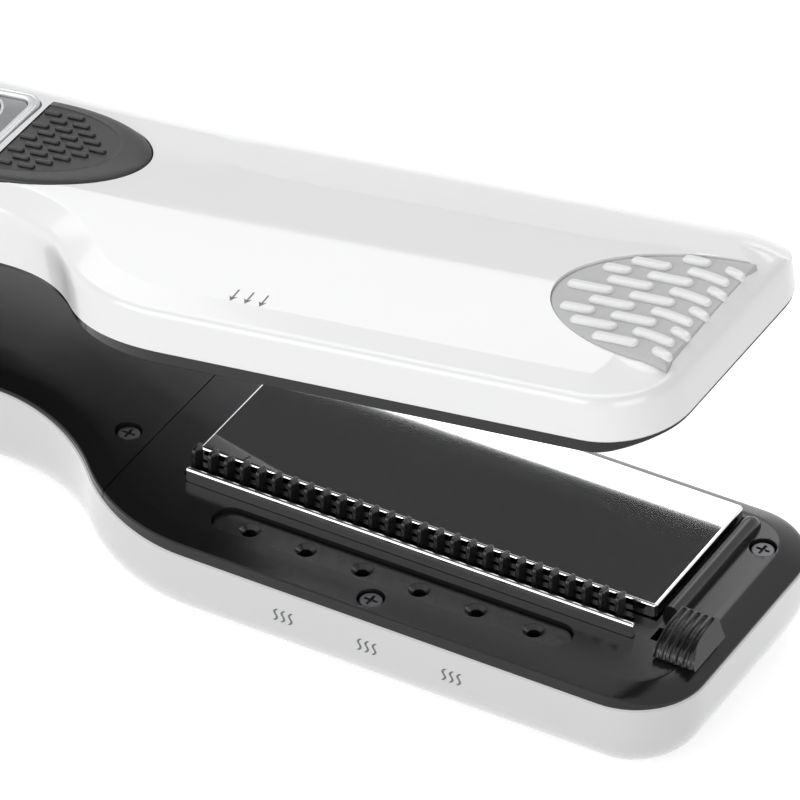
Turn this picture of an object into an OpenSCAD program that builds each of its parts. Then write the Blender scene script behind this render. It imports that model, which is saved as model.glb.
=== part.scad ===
// Steam hair straightener brush: two arms on a hinge pin, each with a heating plate.
// X runs from the hinge pin to the tip, +Z is up and the comb side is -Y.
// Each arm is drawn in arm space: Z = 0 is the plane where the closed arms meet and the
// arm lies below it. The upper arm is the mirrored arm, opened about the hinge pin.

/* [Arms] */
// From the hinge pin to the tip edge
arm_l = 295; // [288:1:310]
// From the hinge pin back to the tail edge
tail_l = 14; // [13:0.5:17]
// Width across the heads
head_w = 59; // [58:0.5:64]
// Width across the handles
handle_w = 39.2; // [38.8:0.2:41]
// Corner radius of the tip, in plan
tip_r = 13; // [11:0.5:15]
// Corner radius of the tail, in plan
tail_r = 12; // [10:0.5:13]
// Length over which the near edge swings out from handle to head
neck_l = 48; // [44:1:54]
// Depth of the lower shell below its rim at the head
lower_depth = 15; // [15:0.5:18]
// Depth of the upper shell above its rim at the head
upper_depth = 10; // [10:0.5:13]
// Crown of the upper shell's back
crown = 0.6; // [0.4:0.1:1]
// Edge rounding of the lower shell
lower_edge_r = 9; // [6:0.5:10]
// Edge rounding of the upper shell
upper_edge_r = 7; // [5:0.5:8]
// Wall of both shells
wall = 1.8; // [1.5:0.1:2.1]
// Gap from rim to rim at the heads of the closed arms
rim_gap = 11.2; // [11.2:0.1:12.4]
// How much each rim comes nearer to the other along the handle
rim_rise = 3.5; // [3:0.1:3.9]
// Opening angle at rest
open_angle = 8.4; // [6:0.1:9]

/* [Inner faces] */
// Drop of the head frame's face below the closing plane
frame_drop = 3; // [2.8:0.1:3.4]
// Drop of the handle cover's face below the closing plane
cover_drop = 1; // [0.8:0.1:1.4]
// Width of the sloping edge of frame and cover
bevel_w = 5; // [4:0.5:6]
// Upright edge of frame and cover above the rim
edge_h = 0.6; // [0.4:0.1:0.8]
// How much the slope flattens along the comb side of the heads
near_lift = 1.7; // [1.2:0.1:1.8]
// Depth of the lip that locates frame and cover in the shell
lip_h = 2; // [1.5:0.1:2.5]
// Thickness of the lip
lip_t = 1.2; // [1:0.1:1.6]
// From the seam between cover and frame to the plate
seam_gap = 9.5; // [8.5:0.5:11]

/* [Plates] */
// Length of a heating plate
plate_l = 87; // [80:1:90]
// Width of a heating plate
plate_w = 31; // [29:0.5:31.5]
// Gap between the plates of the closed arms
plate_gap = 0.4; // [0.4:0.1:1]
// From the tip edge to the plate
tip_margin = 13.7; // [13.5:0.1:16]
// From the far edge to the plate
far_margin = 6.6; // [6.2:0.1:7.5]
// Flange that holds a plate under the frame
flange_w = 1.2; // [1:0.1:1.3]
// Thickness of the flange
flange_t = 1.2; // [1:0.1:1.4]
// Travel of the floating upper plate
float_travel = 0.8; // [0.4:0.1:1]
// Thickness of the heater bars
heater_t = 2; // [1.5:0.1:2.2]

/* [Comb] */
// Number of comb teeth
tooth_n = 27; // [20:1:27]
// Pitch of the teeth
tooth_pitch = 3.1; // [2.6:0.1:3.1]
// Thickness of a tooth along the arm
tooth_t = 0.9; // [0.7:0.1:1.2]
// Width of a tooth across the arm
tooth_w = 2.8; // [2.4:0.1:2.9]
// Height of the teeth above the closing plane
tooth_h = 2.6; // [2.2:0.1:3]
// From the plate's edge to the middle of the comb
comb_gap = 3.2; // [3.2:0.1:3.6]
// Travel of the comb knob
knob_travel = 4; // [3.5:0.1:4]
// How far the comb drops
comb_lift = 3; // [2.9:0.1:3]
// Length of the comb knob
knob_l = 8; // [7:0.5:8]
// Width of the comb knob across the arm
knob_w = 10.5; // [9:0.5:11]

/* [Steam] */
// Length of the steam recess
slot_l = 68; // [66:1:72]
// Width of the steam recess
slot_w = 6.6; // [6:0.1:6.8]
// From the chrome rail to the middle of the steam recess
slot_gap = 5.2; // [5.1:0.1:5.6]
// Number of steam outlets
outlet_n = 6; // [4:1:6]
// Pitch of the steam outlets
outlet_pitch = 10.8; // [8:0.1:11]
// Radius of a steam outlet
outlet_r = 1.1; // [0.8:0.1:1.4]

/* [Controls] */
// Length of the control panel
panel_l = 64.5; // [62:0.5:70]
// Width of the control panel
panel_w = 23.5; // [22:0.5:24]
// Width of the bezel round the panel
bezel_w = 1.8; // [1.2:0.1:2]
// Radius of the plus and minus buttons
button_r = 4.6; // [4:0.1:4.8]
// Radius of the power button
power_r = 5.6; // [5:0.1:6]
// Travel of the buttons
button_travel = 0.8; // [0.4:0.1:0.9]
// Length of the thumb pad
pad_l = 26; // [22:0.5:28]
// Width of the thumb pad
pad_w = 25; // [22:0.5:25.5]
// Length of the tip grip patch
grip_l = 28; // [24:0.5:30]
// Width of the tip grip patch
grip_w = 30; // [25:0.5:32]

/* [Hinge and cord] */
// Radius of the hinge pin
pin_r = 2.5; // [2:0.1:2.8]
// Radius of the hinge knuckles
knuckle_r = 5.2; // [5:0.1:5.4]
// Width of each outer lug
lug_w = 6.2; // [5:0.2:7]
// Width of the room for the hinge spring
spring_room = 7.8; // [7:0.2:9]
// Radius of the cord bore in the swivel
cord_r = 2.8; // [2.5:0.1:3]
// Radius of the swivel drum
swivel_r = 4.4; // [4.2:0.1:4.5]
// From the pin to the closing switch
switch_x = 22; // [20:0.5:24]

/* [Water] */
// Length of the tank ahead of the pin
tank_l = 70; // [60:1:76]
// From the tank's side to the shell's wall
tank_side = 4.8; // [4.6:0.1:6]
// Wall of the tank
tank_wall = 1.4; // [1.2:0.1:1.8]
// Radius of the filler plug
plug_r = 3; // [2.5:0.1:3.4]
// Inner radius of the hoses
hose_r = 1; // [0.8:0.1:1.2]

/* [Screws] */
// Radius of a screw shank
screw_r = 1.25; // [1:0.05:1.4]
// Radius of a screw head
head_r = 2.1; // [1.9:0.05:2.2]
// Height of a screw head
head_h = 1.1; // [0.9:0.1:1.2]
// Depth of a screw head below the face
sink = 0.5; // [0.3:0.1:0.6]
// Radius of a screw boss
boss_r = 2.5; // [2.3:0.1:2.7]

/* [Clearances] */
// Between pieces that seat in each other
fit = 0.2; // [0.15:0.05:0.25]
// Between pieces that slide past each other
slide = 0.35; // [0.3:0.05:0.4]
// Radial running clearance of pins and drums
run = 0.05; // [0.02:0.01:0.08]

/* [Hidden] */
$fn = 48;

// Colours
white = [0.93, 0.93, 0.92];
black = [0.07, 0.07, 0.075];
rubber = [0.1, 0.1, 0.1];
mirror_grey = [0.75, 0.76, 0.78];
steel = [0.62, 0.62, 0.64];
smoke = [0.35, 0.38, 0.42];

// Number of steps on each plan corner, each half of the neck and each straight
corner_n = 5;
neck_n = 6;
straight_n = 3;
round_n = 4;

// Plan
far_y = handle_w / 2;
near_y = far_y - head_w;
plate_x1 = arm_l - tip_margin;
plate_x0 = plate_x1 - plate_l;
plate_cx = (plate_x0 + plate_x1) / 2;
plate_y1 = far_y - far_margin;
plate_y0 = plate_y1 - plate_w;
plate_cy = (plate_y0 + plate_y1) / 2;
head_cy = (far_y + near_y) / 2;
seam_x = plate_x0 - seam_gap;
neck_over = 8.7;
neck_x1 = plate_x0 + neck_over;
neck_x0 = neck_x1 - neck_l;
neck_step = head_w - handle_w;
neck_r = (neck_l * neck_l + neck_step * neck_step) / (4 * neck_step);
neck_a = asin(neck_l / 2 / neck_r);
cover_x0 = 15;
seam_half = 0.12;

// Heights in arm space
rim_z = -rim_gap / 2;
lower_z = rim_z - lower_depth;
upper_z = rim_z - upper_depth;
lower_floor = lower_z + wall;
upper_floor = upper_z + wall;
plate_z = -plate_gap / 2;
flange_z1 = rim_z - slide;
flange_z0 = flange_z1 - flange_t;
pin_z = -lower_z;

// Comb and its wedges
comb_y = plate_y0 - comb_gap;
comb_rail_t = 1.05;
comb_z1 = rim_z - slide;
comb_z0 = comb_z1 - comb_rail_t;
comb_half_w = tooth_w / 2;
comb_x0 = plate_x0 + 1;
comb_cut_half = comb_half_w + slide;
comb_x1 = comb_x0 + (tooth_n - 1) * tooth_pitch + 2;
wedge_slope = comb_lift / knob_travel;
foot_l = 1.2;
wedge_l = knob_travel + foot_l;
wedge_h = wedge_l * wedge_slope;
wedge_z1 = comb_z0 - comb_lift - slide - 0.05;
tongue_z1 = wedge_z1 - wedge_h;
tongue_t = 1.2;
tongue_z0 = tongue_z1 - tongue_t;
foot_gap = 0.45;
foot_n = 3;
foot_pitch = (comb_x1 - comb_x0) / 3;
knob_x1 = arm_l - 1.3;
knob_x0 = knob_x1 - knob_l;
post_l = 4;
post_x1 = knob_x1 - 2.5;
post_x0 = post_x1 - post_l;
knob_y1 = comb_y + 4.4;

// Chrome rail, end bar and steam parts
rail_y1 = comb_y - comb_half_w - 0.7;
rail_t = 1;
rail_sunk = 0.8;
rail_l = plate_l - 2;
bar_w = 3.1;
slot_y = rail_y1 - rail_t - slot_gap;
strip_sunk = 0.8;
strip_flange = 0.6;
strip_flange_t = 1.1;
gasket_t = 0.8;
chamber_h = 6.5;
chamber_wall = 1.5;
strip_z0 = rim_z - fit - strip_flange_t;
gasket_z0 = strip_z0 - gasket_t;
chamber_z0 = gasket_z0 - chamber_h;

// Screws: three in each head and handle cover, as seen, and one near the tank
head_screws = [[plate_cx, near_y + wall + screw_r + fit + 0.05], [arm_l - 7.4, plate_y1 - 5.2]];
lower_cover_screws = [[seam_x - 4.5, -18], [tank_l + 24, 10]];
upper_cover_screws = [[seam_x - 4.5, -18], [tank_l - 4, 10]];
counter_r = head_r + 0.3;

// Hinge, tank and switch
bracket_z1 = -knuckle_r - 0.4;
bracket_t = 1.8;
bracket_z0 = bracket_z1 - bracket_t;
lug_y1 = far_y - wall - 1.2;
lug_y0 = lug_y1 - lug_w;
knuckle_y1 = lug_y0 - slide - spring_room;
trigger_r = 1.6;
trigger_top = switch_x * tan(open_angle) + cover_drop - 0.55;
trigger_travel = switch_x * open_angle * PI / 180;
trigger_foot = rim_z + rim_rise - 1.2;
switch_z1 = trigger_foot - trigger_travel - slide - 0.05;
switch_z0 = switch_z1 - 2.1;
tank_z1 = min(bracket_z0, switch_z0) - slide - 0.05;
tank_z0 = lower_floor + 0.9;
tank_cut_x = -2;
tank_w = handle_w - 2 * (wall + tank_side);
port_r = 2;
port_y = tank_w / 2 - 6;
port_z = (tank_z0 + tank_z1) / 2;
valve_l = 9;
pump_x0 = tank_l + valve_l + 14;
pump_l = 26;
pump_r = 5;
pump_y = -5;
pump_z = lower_floor + pump_r + 0.1;

// Controls
pad_x1 = neck_x0 + pad_l - 2.5;
pad_x0 = pad_x1 - pad_l;
panel_y = -1.5;
panel_x1 = pad_x0 - bezel_w - 2;
panel_x0 = panel_x1 - panel_l;
panel_top = upper_z - crown;
panel_t = 1.4;
bezel_t = 2.6;
button_x = panel_x1 - button_r - 4.4;
button_dy = panel_w / 4;
power_x = panel_x0 + power_r + 4;
button_top = panel_top - 0.5;
panel_under = panel_top + 0.3 + panel_t;
board_z0 = upper_floor + 3.4;
board_t = 1.2;
display_x0 = power_x + power_r + 4;
display_x1 = button_x - button_r - 3;
pad_top = upper_z - 1.5;
grip_x1 = arm_l - upper_edge_r + 1.5;
grip_x0 = grip_x1 - grip_l;
grip_y = head_cy - 3;
grip_top = upper_z - 0.5;

// Swivel
swivel_z = (upper_z + rim_z + rim_rise) / 2 + 0.15;
swivel_wall = 1.2;
swivel_nose = 9;

function smooth(t) = let (c = min(1, max(0, t))) c * c * (3 - 2 * c);
function headness(x) = smooth((x - neck_x0) / neck_l);
function rim_at(x) = rim_z + rim_rise * (1 - headness(x));
function face_at(x) = -frame_drop + (frame_drop - cover_drop) * (1 - headness(x));
// Share of the flattened slope: full along the comb side of the head, none elsewhere
function near_share(p) = p[1] < head_cy
    ? headness(p[0]) * (1 - smooth((p[0] - arm_l + tip_r) / tip_r)) : 0;
deck_extra = 0.8;
function deck_under(x) = rim_at(x) - deck_extra * (1 - headness(x));
function arc(c, r, a0, a1, n) =
    [for (k = [0:n]) let (a = a0 + (a1 - a0) * k / n) c + r * [cos(a), sin(a)]];
function line(a, b, n) = [for (k = [1:n]) a + (b - a) * k / (n + 1)];
function tail_of(list) = [for (k = [1:len(list) - 1]) list[k]];

// Near edge from tail to tip, inset by d: tail corner, handle, two neck arcs, head, tip corner
function near_edge(d) = concat(
    arc([tail_r - tail_l, tail_r - handle_w / 2], tail_r - d, 180, 270, corner_n),
    line([tail_r - tail_l, d - handle_w / 2], [neck_x0, d - handle_w / 2], straight_n),
    arc([neck_x0, -handle_w / 2 - neck_r], neck_r + d, 90, 90 - neck_a, neck_n),
    tail_of(arc([neck_x1, near_y + neck_r], neck_r - d, 270 - neck_a, 270, neck_n)),
    line([neck_x1, near_y + d], [arm_l - tip_r, near_y + d], straight_n),
    arc([arm_l - tip_r, near_y + tip_r], tip_r - d, 270, 360, corner_n));

// Far edge with a point opposite each point of the near edge
function far_edge(d) = let (n = near_edge(d), m = len(n) - corner_n - 2) concat(
    arc([tail_r - tail_l, far_y - tail_r], tail_r - d, 180, 90, corner_n),
    [for (k = [corner_n + 1:m]) [n[k][0], far_y - d]],
    arc([arm_l - tip_r, far_y - tip_r], tip_r - d, 90, 0, corner_n));

// Closed plan loop at inset d
function loop(d) = let (a = near_edge(d), b = far_edge(d), n = len(a))
    concat(a, [for (k = [1:n]) b[n - k]]);
// Ring of the loop at height z, or at the height that a function of the point gives
function ring(d, z) = [for (p = loop(d)) [p[0], p[1], is_function(z) ? z(p) : z]];
rim_of = function (p) rim_at(p[0]);
// Ring drawn in towards the spine of the arm by the share s
function dome_ring(d, s, z) = let (q = loop(d), n = len(q))
    [for (k = [0:n - 1]) let (
        o = q[n - 1 - k],
        mx = min(max(q[k][0], 8), arm_l - head_w / 2),
        my = (q[k][1] + o[1]) / 2)
        [q[k][0] + (mx - q[k][0]) * s, q[k][1] + (my - q[k][1]) * s, z]];

// Solid through a list of rings, closed by a cap at each end
module ring_solid(rings) {
    n = len(rings[0]);
    m = len(rings);
    half = n / 2;
    sides = [for (j = [0:m - 2], i = [0:n - 1], t = [0, 1]) let (k = (i + 1) % n)
        t == 0 ? [(j + 1) * n + i, (j + 1) * n + k, j * n + k]
               : [(j + 1) * n + i, j * n + k, j * n + i]];
    first = [for (i = [0:half - 2], t = [0, 1])
        t == 0 ? [i, i + 1, n - 2 - i] : [i, n - 2 - i, n - 1 - i]];
    last = [for (f = first) [for (v = [2, 1, 0]) (m - 1) * n + f[v]]];
    polyhedron(points = [for (r = rings) each r], faces = concat(sides, first, last), convexity = 8);
}

// Rings of a rounded wall from its flat bottom up to the rim
function wall_rings(z, r, d) = [for (k = [0:round_n]) let (a = 90 - 90 * k / round_n)
    ring(d + r * (1 - cos(a)), z + r * (1 - sin(a)))];
function reversed(list) = [for (k = [1:len(list)]) list[len(list) - k]];
function dome_rings(d, z, rise) = [for (s = [0.9, 0.6, 0.3])
    dome_ring(d, s, z - rise * (1 - (1 - s) * (1 - s)))];

module outer_form(z, r, rise) {
    ring_solid(concat(
        rise > 0 ? dome_rings(r, z, rise) : [],
        wall_rings(z, r, 0),
        [ring(0, rim_of)]));
}
module shell_form(z, r, rise) {
    ring_solid(concat(
        rise > 0 ? dome_rings(r, z, rise) : [],
        wall_rings(z, r, 0),
        [ring(0, rim_of), ring(wall, rim_of)],
        reversed(wall_rings(z + wall, r - wall, wall)),
        rise > 0 ? reversed(dome_rings(r, z + wall, rise)) : []));
}
// Frame and cover before they are cut: a deck with a sloping edge and a lip inside the shell
module deck_form() {
    lip_d = wall + fit;
    in_d = lip_d + lip_t;
    ring_solid([
        ring(in_d, function (p) deck_under(p[0])),
        ring(in_d, function (p) rim_at(p[0]) - lip_h),
        ring(lip_d, function (p) rim_at(p[0]) - lip_h),
        ring(lip_d, rim_of),
        ring(0.25, rim_of),
        ring(0.25, function (p) rim_at(p[0]) + edge_h + near_lift * near_share(p)),
        ring(bevel_w, function (p) face_at(p[0]))]);
}

module lower() {
    translate([0, 0, pin_z]) children();
}
module upper() {
    translate([0, 0, pin_z]) rotate([0, -open_angle, 0]) mirror([0, 0, 1]) children();
}
module block(x0, x1, y0, y1, z0, z1) {
    translate([x0, y0, z0]) cube([x1 - x0, y1 - y0, z1 - z0]);
}
module rod(x, y, z0, z1, r) {
    translate([x, y, z0]) cylinder(h = z1 - z0, r = r);
}
module rod_x(x0, x1, y, z, r) {
    translate([x0, y, z]) rotate([0, 90, 0]) cylinder(h = x1 - x0, r = r);
}
module rod_y(x, y0, y1, z, r) {
    translate([x, y1, z]) rotate([90, 0, 0]) cylinder(h = y1 - y0, r = r);
}
// Stadium along X between x0 and x1
module stadium(x0, x1, y, w, z0, z1) {
    translate([0, 0, z0]) linear_extrude(z1 - z0) union() {
        translate([x0 + w / 2, y]) circle(d = w);
        translate([x1 - w / 2, y]) circle(d = w);
        translate([x0 + w / 2, y - w / 2]) square([x1 - x0 - w, w]);
    }
}
module rounded_block(x0, x1, y0, y1, z0, z1, r) {
    translate([0, 0, z0]) linear_extrude(z1 - z0) union() {
        translate([x0 + r, y0]) square([x1 - x0 - 2 * r, y1 - y0]);
        translate([x0, y0 + r]) square([x1 - x0, y1 - y0 - 2 * r]);
        for (x = [x0 + r, x1 - r], y = [y0 + r, y1 - r]) translate([x, y]) circle(r = r);
    }
}
// D outline: flat edge at x_flat, half ellipse of length l and width w towards dir
module dee(x_flat, y, l, w, dir, z0, z1) {
    translate([x_flat, y, z0]) linear_extrude(z1 - z0)
        polygon([for (k = [0:24]) let (a = -90 + 180 * k / 24) [dir * l * cos(a), w / 2 * sin(a)]]);
}
// Directions of travel at each point of a path, and the path's rings of n points, mitred at its bends
function unit(v) = v / norm(v);
function heading(points, k) = let (m = len(points) - 1) unit(
    unit(points[min(k + 1, m)] - points[min(k, m - 1)]) + unit(points[max(k, 1)] - points[max(k - 1, 0)]));
function path_rings(points, r, n) = [for (k = [0:len(points) - 1]) let (
    d = heading(points, k),
    bend = d * unit(points[min(k + 1, len(points) - 1)] - points[min(k, len(points) - 2)]),
    side = unit(cross([0, 0, 1], d)),
    up = cross(d, side))
    [for (i = [0:n - 1]) let (a = 360 * (i + 0.5) / n) points[k] + r * (cos(a) / bend * side + sin(a) * up)]];
// Tube or wire along a list of points
module path_rod(points, r, n) {
    ring_solid(path_rings(points, r, n));
}
module screw_holes(spots, face) {
    for (p = spots) {
        rod(p[0], p[1], lower_z, 0, screw_r + fit);
        rod(p[0], p[1], face - sink - head_h, 0, counter_r);
    }
}
module screw(p, face, end) {
    top = face - sink;
    difference() {
        union() {
            rod(p[0], p[1], top - head_h, top, head_r);
            rod(p[0], p[1], end, top - head_h, screw_r);
        }
        for (a = [0, 90]) translate([p[0], p[1], top - 0.3]) rotate([0, 0, a])
            cube([2 * head_r * 0.6, 0.6, 1.2], center = true);
    }
}
module boss(p, z0, z1) {
    difference() {
        rod(p[0], p[1], z0, z1, boss_r);
        rod(p[0], p[1], z0 + 1, z1 + 1, screw_r + run);
    }
}
// Underside of frame or cover at a screw, where its boss ends
function boss_top(p) = deck_under(p[0]) - fit;
side_boss_z0 = lower_z + lower_edge_r - 2;

module lower_shell() {
    color(white) lower() {
        difference() {
            shell_form(lower_z, lower_edge_r, 0);
            block(-tail_l - 1, tank_cut_x, -far_y - 1, far_y + 1, lower_z - 1, tank_z1 + slide);
        }
        boss(head_screws[0], side_boss_z0, rim_z - fit);
        boss(head_screws[1], lower_floor - 0.5, rim_z - fit);
        for (p = lower_cover_screws) boss(p, lower_floor - 0.5, boss_top(p));
    }
}
// Room for the bosses through the lip
module boss_room() {
    for (p = head_screws) rod(p[0], p[1], rim_z - lip_h - 1, rim_z, boss_r + fit);
}
module plate_opening() {
    block(plate_x0 - slide, plate_x1 + slide, plate_y0 - slide, plate_y1 + slide, lower_z, 0);
}
module head_cut() {
    block(seam_x + seam_half, arm_l + 1, near_y - 1, far_y + 1, lower_z, 0);
}
module lower_head_frame() {
    color(black) lower() difference() {
        intersection() {
            deck_form();
            head_cut();
        }
        plate_opening();
        block(comb_x0 - 1 - slide, comb_x1 + slide, comb_y - comb_cut_half, comb_y + comb_cut_half,
              lower_z, 0);
        block(post_x0 - knob_travel - slide, post_x1 + slide, comb_y - comb_cut_half,
              comb_y + comb_cut_half, lower_z, 0);
        block(plate_cx - rail_l / 2 - fit / 2, plate_cx + rail_l / 2 + fit / 2, rail_y1 - rail_t - fit / 2,
              rail_y1 + fit / 2, -frame_drop - rail_sunk, 0);
        stadium(plate_cx - slot_l / 2, plate_cx + slot_l / 2, slot_y, slot_w, lower_z, 0);
        screw_holes(head_screws, -frame_drop);
        boss_room();
    }
}
module lower_handle_cover() {
    color(black) lower() difference() {
        intersection() {
            deck_form();
            block(cover_x0, seam_x - seam_half, near_y - 1, far_y + 1, lower_z, 0);
        }
        for (p = lower_cover_screws) screw_holes([p], face_at(p[0]));
        rod(switch_x, 0, lower_z, 0, trigger_r + slide);
    }
}
module plate_form() {
    block(plate_x0, plate_x1, plate_y0, plate_y1, flange_z0, plate_z);
    block(plate_x0 - flange_w, plate_x1 + flange_w, plate_y0 - flange_w, plate_y1 + flange_w,
          flange_z0, flange_z1);
}
heater_l = plate_l - 8;
heater_w = 18;
holder_h = 3.2;
module heater_form(z1) {
    block(plate_cx - heater_l / 2, plate_cx + heater_l / 2, plate_cy - heater_w / 2, plate_cy + heater_w / 2,
          z1 - heater_t, z1);
}
module holder_form(z1, depth) {
    difference() {
        block(plate_x0, plate_x1, plate_y0 + 0.3, plate_y1 - 0.3, z1 - depth, z1);
        block(plate_x0 + 2, plate_x1 - 2, plate_y0 + 3, plate_y1 - 3, z1 - depth + 1, z1 + 1);
    }
}
module lower_plate() {
    color(mirror_grey) lower() plate_form();
}
module lower_heater() {
    color(steel) lower() heater_form(flange_z0 - 0.05);
}
module lower_plate_holder() {
    color(white) lower() {
        holder_form(flange_z0 - 0.05, holder_h);
        for (x = [plate_x0 + 8, plate_x1 - 8])
            block(x - 2, x + 2, plate_cy - 8, plate_cy + 8, lower_floor + 0.05, flange_z0 - holder_h);
    }
}
module chrome_rail() {
    color(mirror_grey) lower()
        block(plate_cx - rail_l / 2, plate_cx + rail_l / 2, rail_y1 - rail_t, rail_y1,
              -frame_drop - rail_sunk + fit / 2, plate_z);
}
module plate_end_bar() {
    bar_x = plate_x1 + slide + bar_w / 2 + 0.15;
    bar_y0 = knob_y1 + slide;
    bar_y1 = plate_y1;
    color(black) lower() intersection() {
        union() {
            rod_y(bar_x, bar_y0, bar_y1, -frame_drop + 0.9, bar_w / 2);
            block(bar_x - bar_w / 2, bar_x + bar_w / 2, bar_y0, bar_y1, -frame_drop, -frame_drop + 0.9);
        }
        block(bar_x - bar_w, bar_x + bar_w, bar_y0 - 1, bar_y1 + 1, -frame_drop, 0);
    }
}
module comb() {
    color(black) lower() {
        block(comb_x0 - 1, comb_x1, comb_y - comb_half_w, comb_y + comb_half_w, comb_z0, comb_z1);
        for (k = [0:tooth_n - 1]) let (x = comb_x0 + k * tooth_pitch)
            block(x, x + tooth_t, comb_y - comb_half_w, comb_y + comb_half_w, comb_z1 - 0.2, tooth_h);
        for (k = [0:foot_n - 1]) let (x = comb_x0 + (k + 0.5) * foot_pitch)
            translate([0, comb_y + comb_half_w, 0]) rotate([90, 0, 0]) linear_extrude(tooth_w)
                polygon([[x, comb_z0 + 0.2], [x, wedge_z1 + foot_gap],
                         [x + foot_l, wedge_z1 + foot_gap - foot_l * wedge_slope], [x + foot_l, comb_z0 + 0.2]]);
    }
}
rib_n = 5;
module comb_slider() {
    knob_z0 = -frame_drop + slide;
    knob_y0 = knob_y1 - knob_w;
    color(black) lower() {
        difference() {
            translate([knob_x0, 0, 0]) rotate([90, 0, 90]) linear_extrude(knob_l)
                polygon(concat([[knob_y0, knob_z0], [knob_y1, knob_z0], [knob_y1, 0]],
                    [for (k = [0:8]) let (a = 90 + 90 * k / 8)
                        [knob_y1 - 3.2 + (knob_w - 3.2) * cos(a), knob_z0 + 0.3 - (knob_z0 + 0.3) * sin(a)]]));
            for (k = [1:rib_n]) let (x = knob_x0 + knob_l * k / (rib_n + 1.5))
                block(x - 0.3, x + 0.3, knob_y0 - 1, knob_y1 - 1.2, -0.4, 1);
            for (k = [1:rib_n]) let (x = knob_x0 + knob_l * k / (rib_n + 1.5))
                block(x - 0.3, x + 0.3, knob_y0 - 1, knob_y0 + 1.2, knob_z0 - 1, 1);
        }
        block(post_x0, post_x1, comb_y - comb_half_w, comb_y + comb_half_w, tongue_z0, knob_z0 + 0.3);
        block(comb_x0 + 4, post_x1, comb_y - comb_half_w, comb_y + comb_half_w, tongue_z0, tongue_z1);
        for (k = [0:foot_n - 1]) let (x = comb_x0 + (k + 0.5) * foot_pitch)
            translate([0, comb_y + comb_half_w, 0]) rotate([90, 0, 0]) linear_extrude(tooth_w)
                polygon([[x, tongue_z1 - 0.2], [x + wedge_l, tongue_z1 - 0.2], [x + wedge_l, tongue_z1],
                         [x, wedge_z1]]);
    }
}
guide_wall = 0.9;
guide_floor = 0.9;
module comb_guide() {
    y0 = comb_y - comb_cut_half;
    y1 = comb_y + comb_cut_half;
    z0 = tongue_z0 - slide;
    x0 = comb_x0 - 2;
    x1 = plate_x1 + 2;
    color(steel) lower() {
        difference() {
            block(x0, x1, y0 - guide_wall, y1 + guide_wall, z0 - guide_floor, flange_z0 - slide);
            block(x0 - 1, x1 + 1, y0, y1, z0, 0);
        }
        for (x = [x0 + 8, plate_cx, x1 - 8])
            block(x - 2, x + 2, y0, y1, lower_floor + 0.05, z0 - guide_floor + 0.1);
    }
}
module steam_strip() {
    z1 = -frame_drop - strip_sunk;
    color(black) lower() difference() {
        union() {
            stadium(plate_cx - slot_l / 2 + fit, plate_cx + slot_l / 2 - fit, slot_y, slot_w - 2 * fit,
                    strip_z0, z1);
            stadium(plate_cx - slot_l / 2 - strip_flange, plate_cx + slot_l / 2 + strip_flange, slot_y,
                    slot_w + 2 * strip_flange, strip_z0, strip_z0 + strip_flange_t);
        }
        for (k = [0:outlet_n - 1]) let (x = plate_cx + (k - (outlet_n - 1) / 2) * outlet_pitch) {
            rod(x, slot_y, strip_z0 - 1, z1 + 1, outlet_r);
            rod(x, slot_y, z1 - 0.6, z1 + 1, outlet_r + 0.9);
        }
    }
}
module chamber_outline(z0, z1, grow) {
    stadium(plate_cx - slot_l / 2 - grow, plate_cx + slot_l / 2 + grow, slot_y, slot_w + 2 * grow, z0, z1);
}
module steam_gasket() {
    color(rubber) lower() difference() {
        chamber_outline(gasket_z0, strip_z0 - 0.02, 0.4);
        chamber_outline(gasket_z0 - 1, strip_z0 + 1, -1);
    }
}
port_stub = 5;
module steam_chamber() {
    x0 = plate_cx - slot_l / 2;
    color(steel) lower() difference() {
        union() {
            chamber_outline(chamber_z0, gasket_z0 - 0.02, 0.4);
            rod_x(x0 - port_stub, x0 + 1.2, slot_y, chamber_z0 + 3, hose_r);
        }
        chamber_outline(chamber_z0 + chamber_wall, gasket_z0 + 1, -chamber_wall);
        rod_x(x0 - port_stub - 1, x0 + 3, slot_y, chamber_z0 + 3, hose_r - 0.4);
    }
}
module pump_port(x0, x1) {
    rod_x(x0, x1, pump_y, pump_z, hose_r);
}
module micro_pump() {
    color(steel) lower() {
        rod_x(pump_x0, pump_x0 + pump_l, pump_y, pump_z, pump_r);
        pump_port(pump_x0 - 4, pump_x0 + 1);
        pump_port(pump_x0 + pump_l - 1, pump_x0 + pump_l + 4);
        block(pump_x0 + 6, pump_x0 + pump_l - 6, pump_y - pump_r - 0.6, pump_y + pump_r + 0.6,
              lower_floor + 0.05, pump_z - 1);
    }
}
hose_t = 0.8;
// Hose along the points, open from end to end
module hose(points) {
    m = len(points) - 1;
    inner = [for (k = [0:m]) k == 0 ? points[0] - [1, 0, 0] : k == m ? points[m] + [1, 0, 0] : points[k]];
    difference() {
        path_rod(points, hose_r + hose_t, 12);
        path_rod(inner, (hose_r + run) / cos(15), 12);
    }
}
module suction_hose() {
    a = [tank_l + valve_l + 1, port_y, port_z];
    b = [tank_l + valve_l + 5, port_y, port_z];
    c = [pump_x0 - 6, pump_y, pump_z];
    d = [pump_x0 - 0.5, pump_y, pump_z];
    color(rubber) lower() hose([a, b, c, d]);
}
module delivery_hose() {
    x0 = plate_cx - slot_l / 2;
    a = [pump_x0 + pump_l + 0.5, pump_y, pump_z];
    b = [pump_x0 + pump_l + 8, pump_y, pump_z];
    c = [seam_x - 1, pump_y - 4, pump_z];
    d = [x0 - 13.5, slot_y, chamber_z0 + 3];
    e = [x0 - 0.7, slot_y, chamber_z0 + 3];
    color(rubber) lower() hose([a, b, c, d, e]);
}
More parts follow.
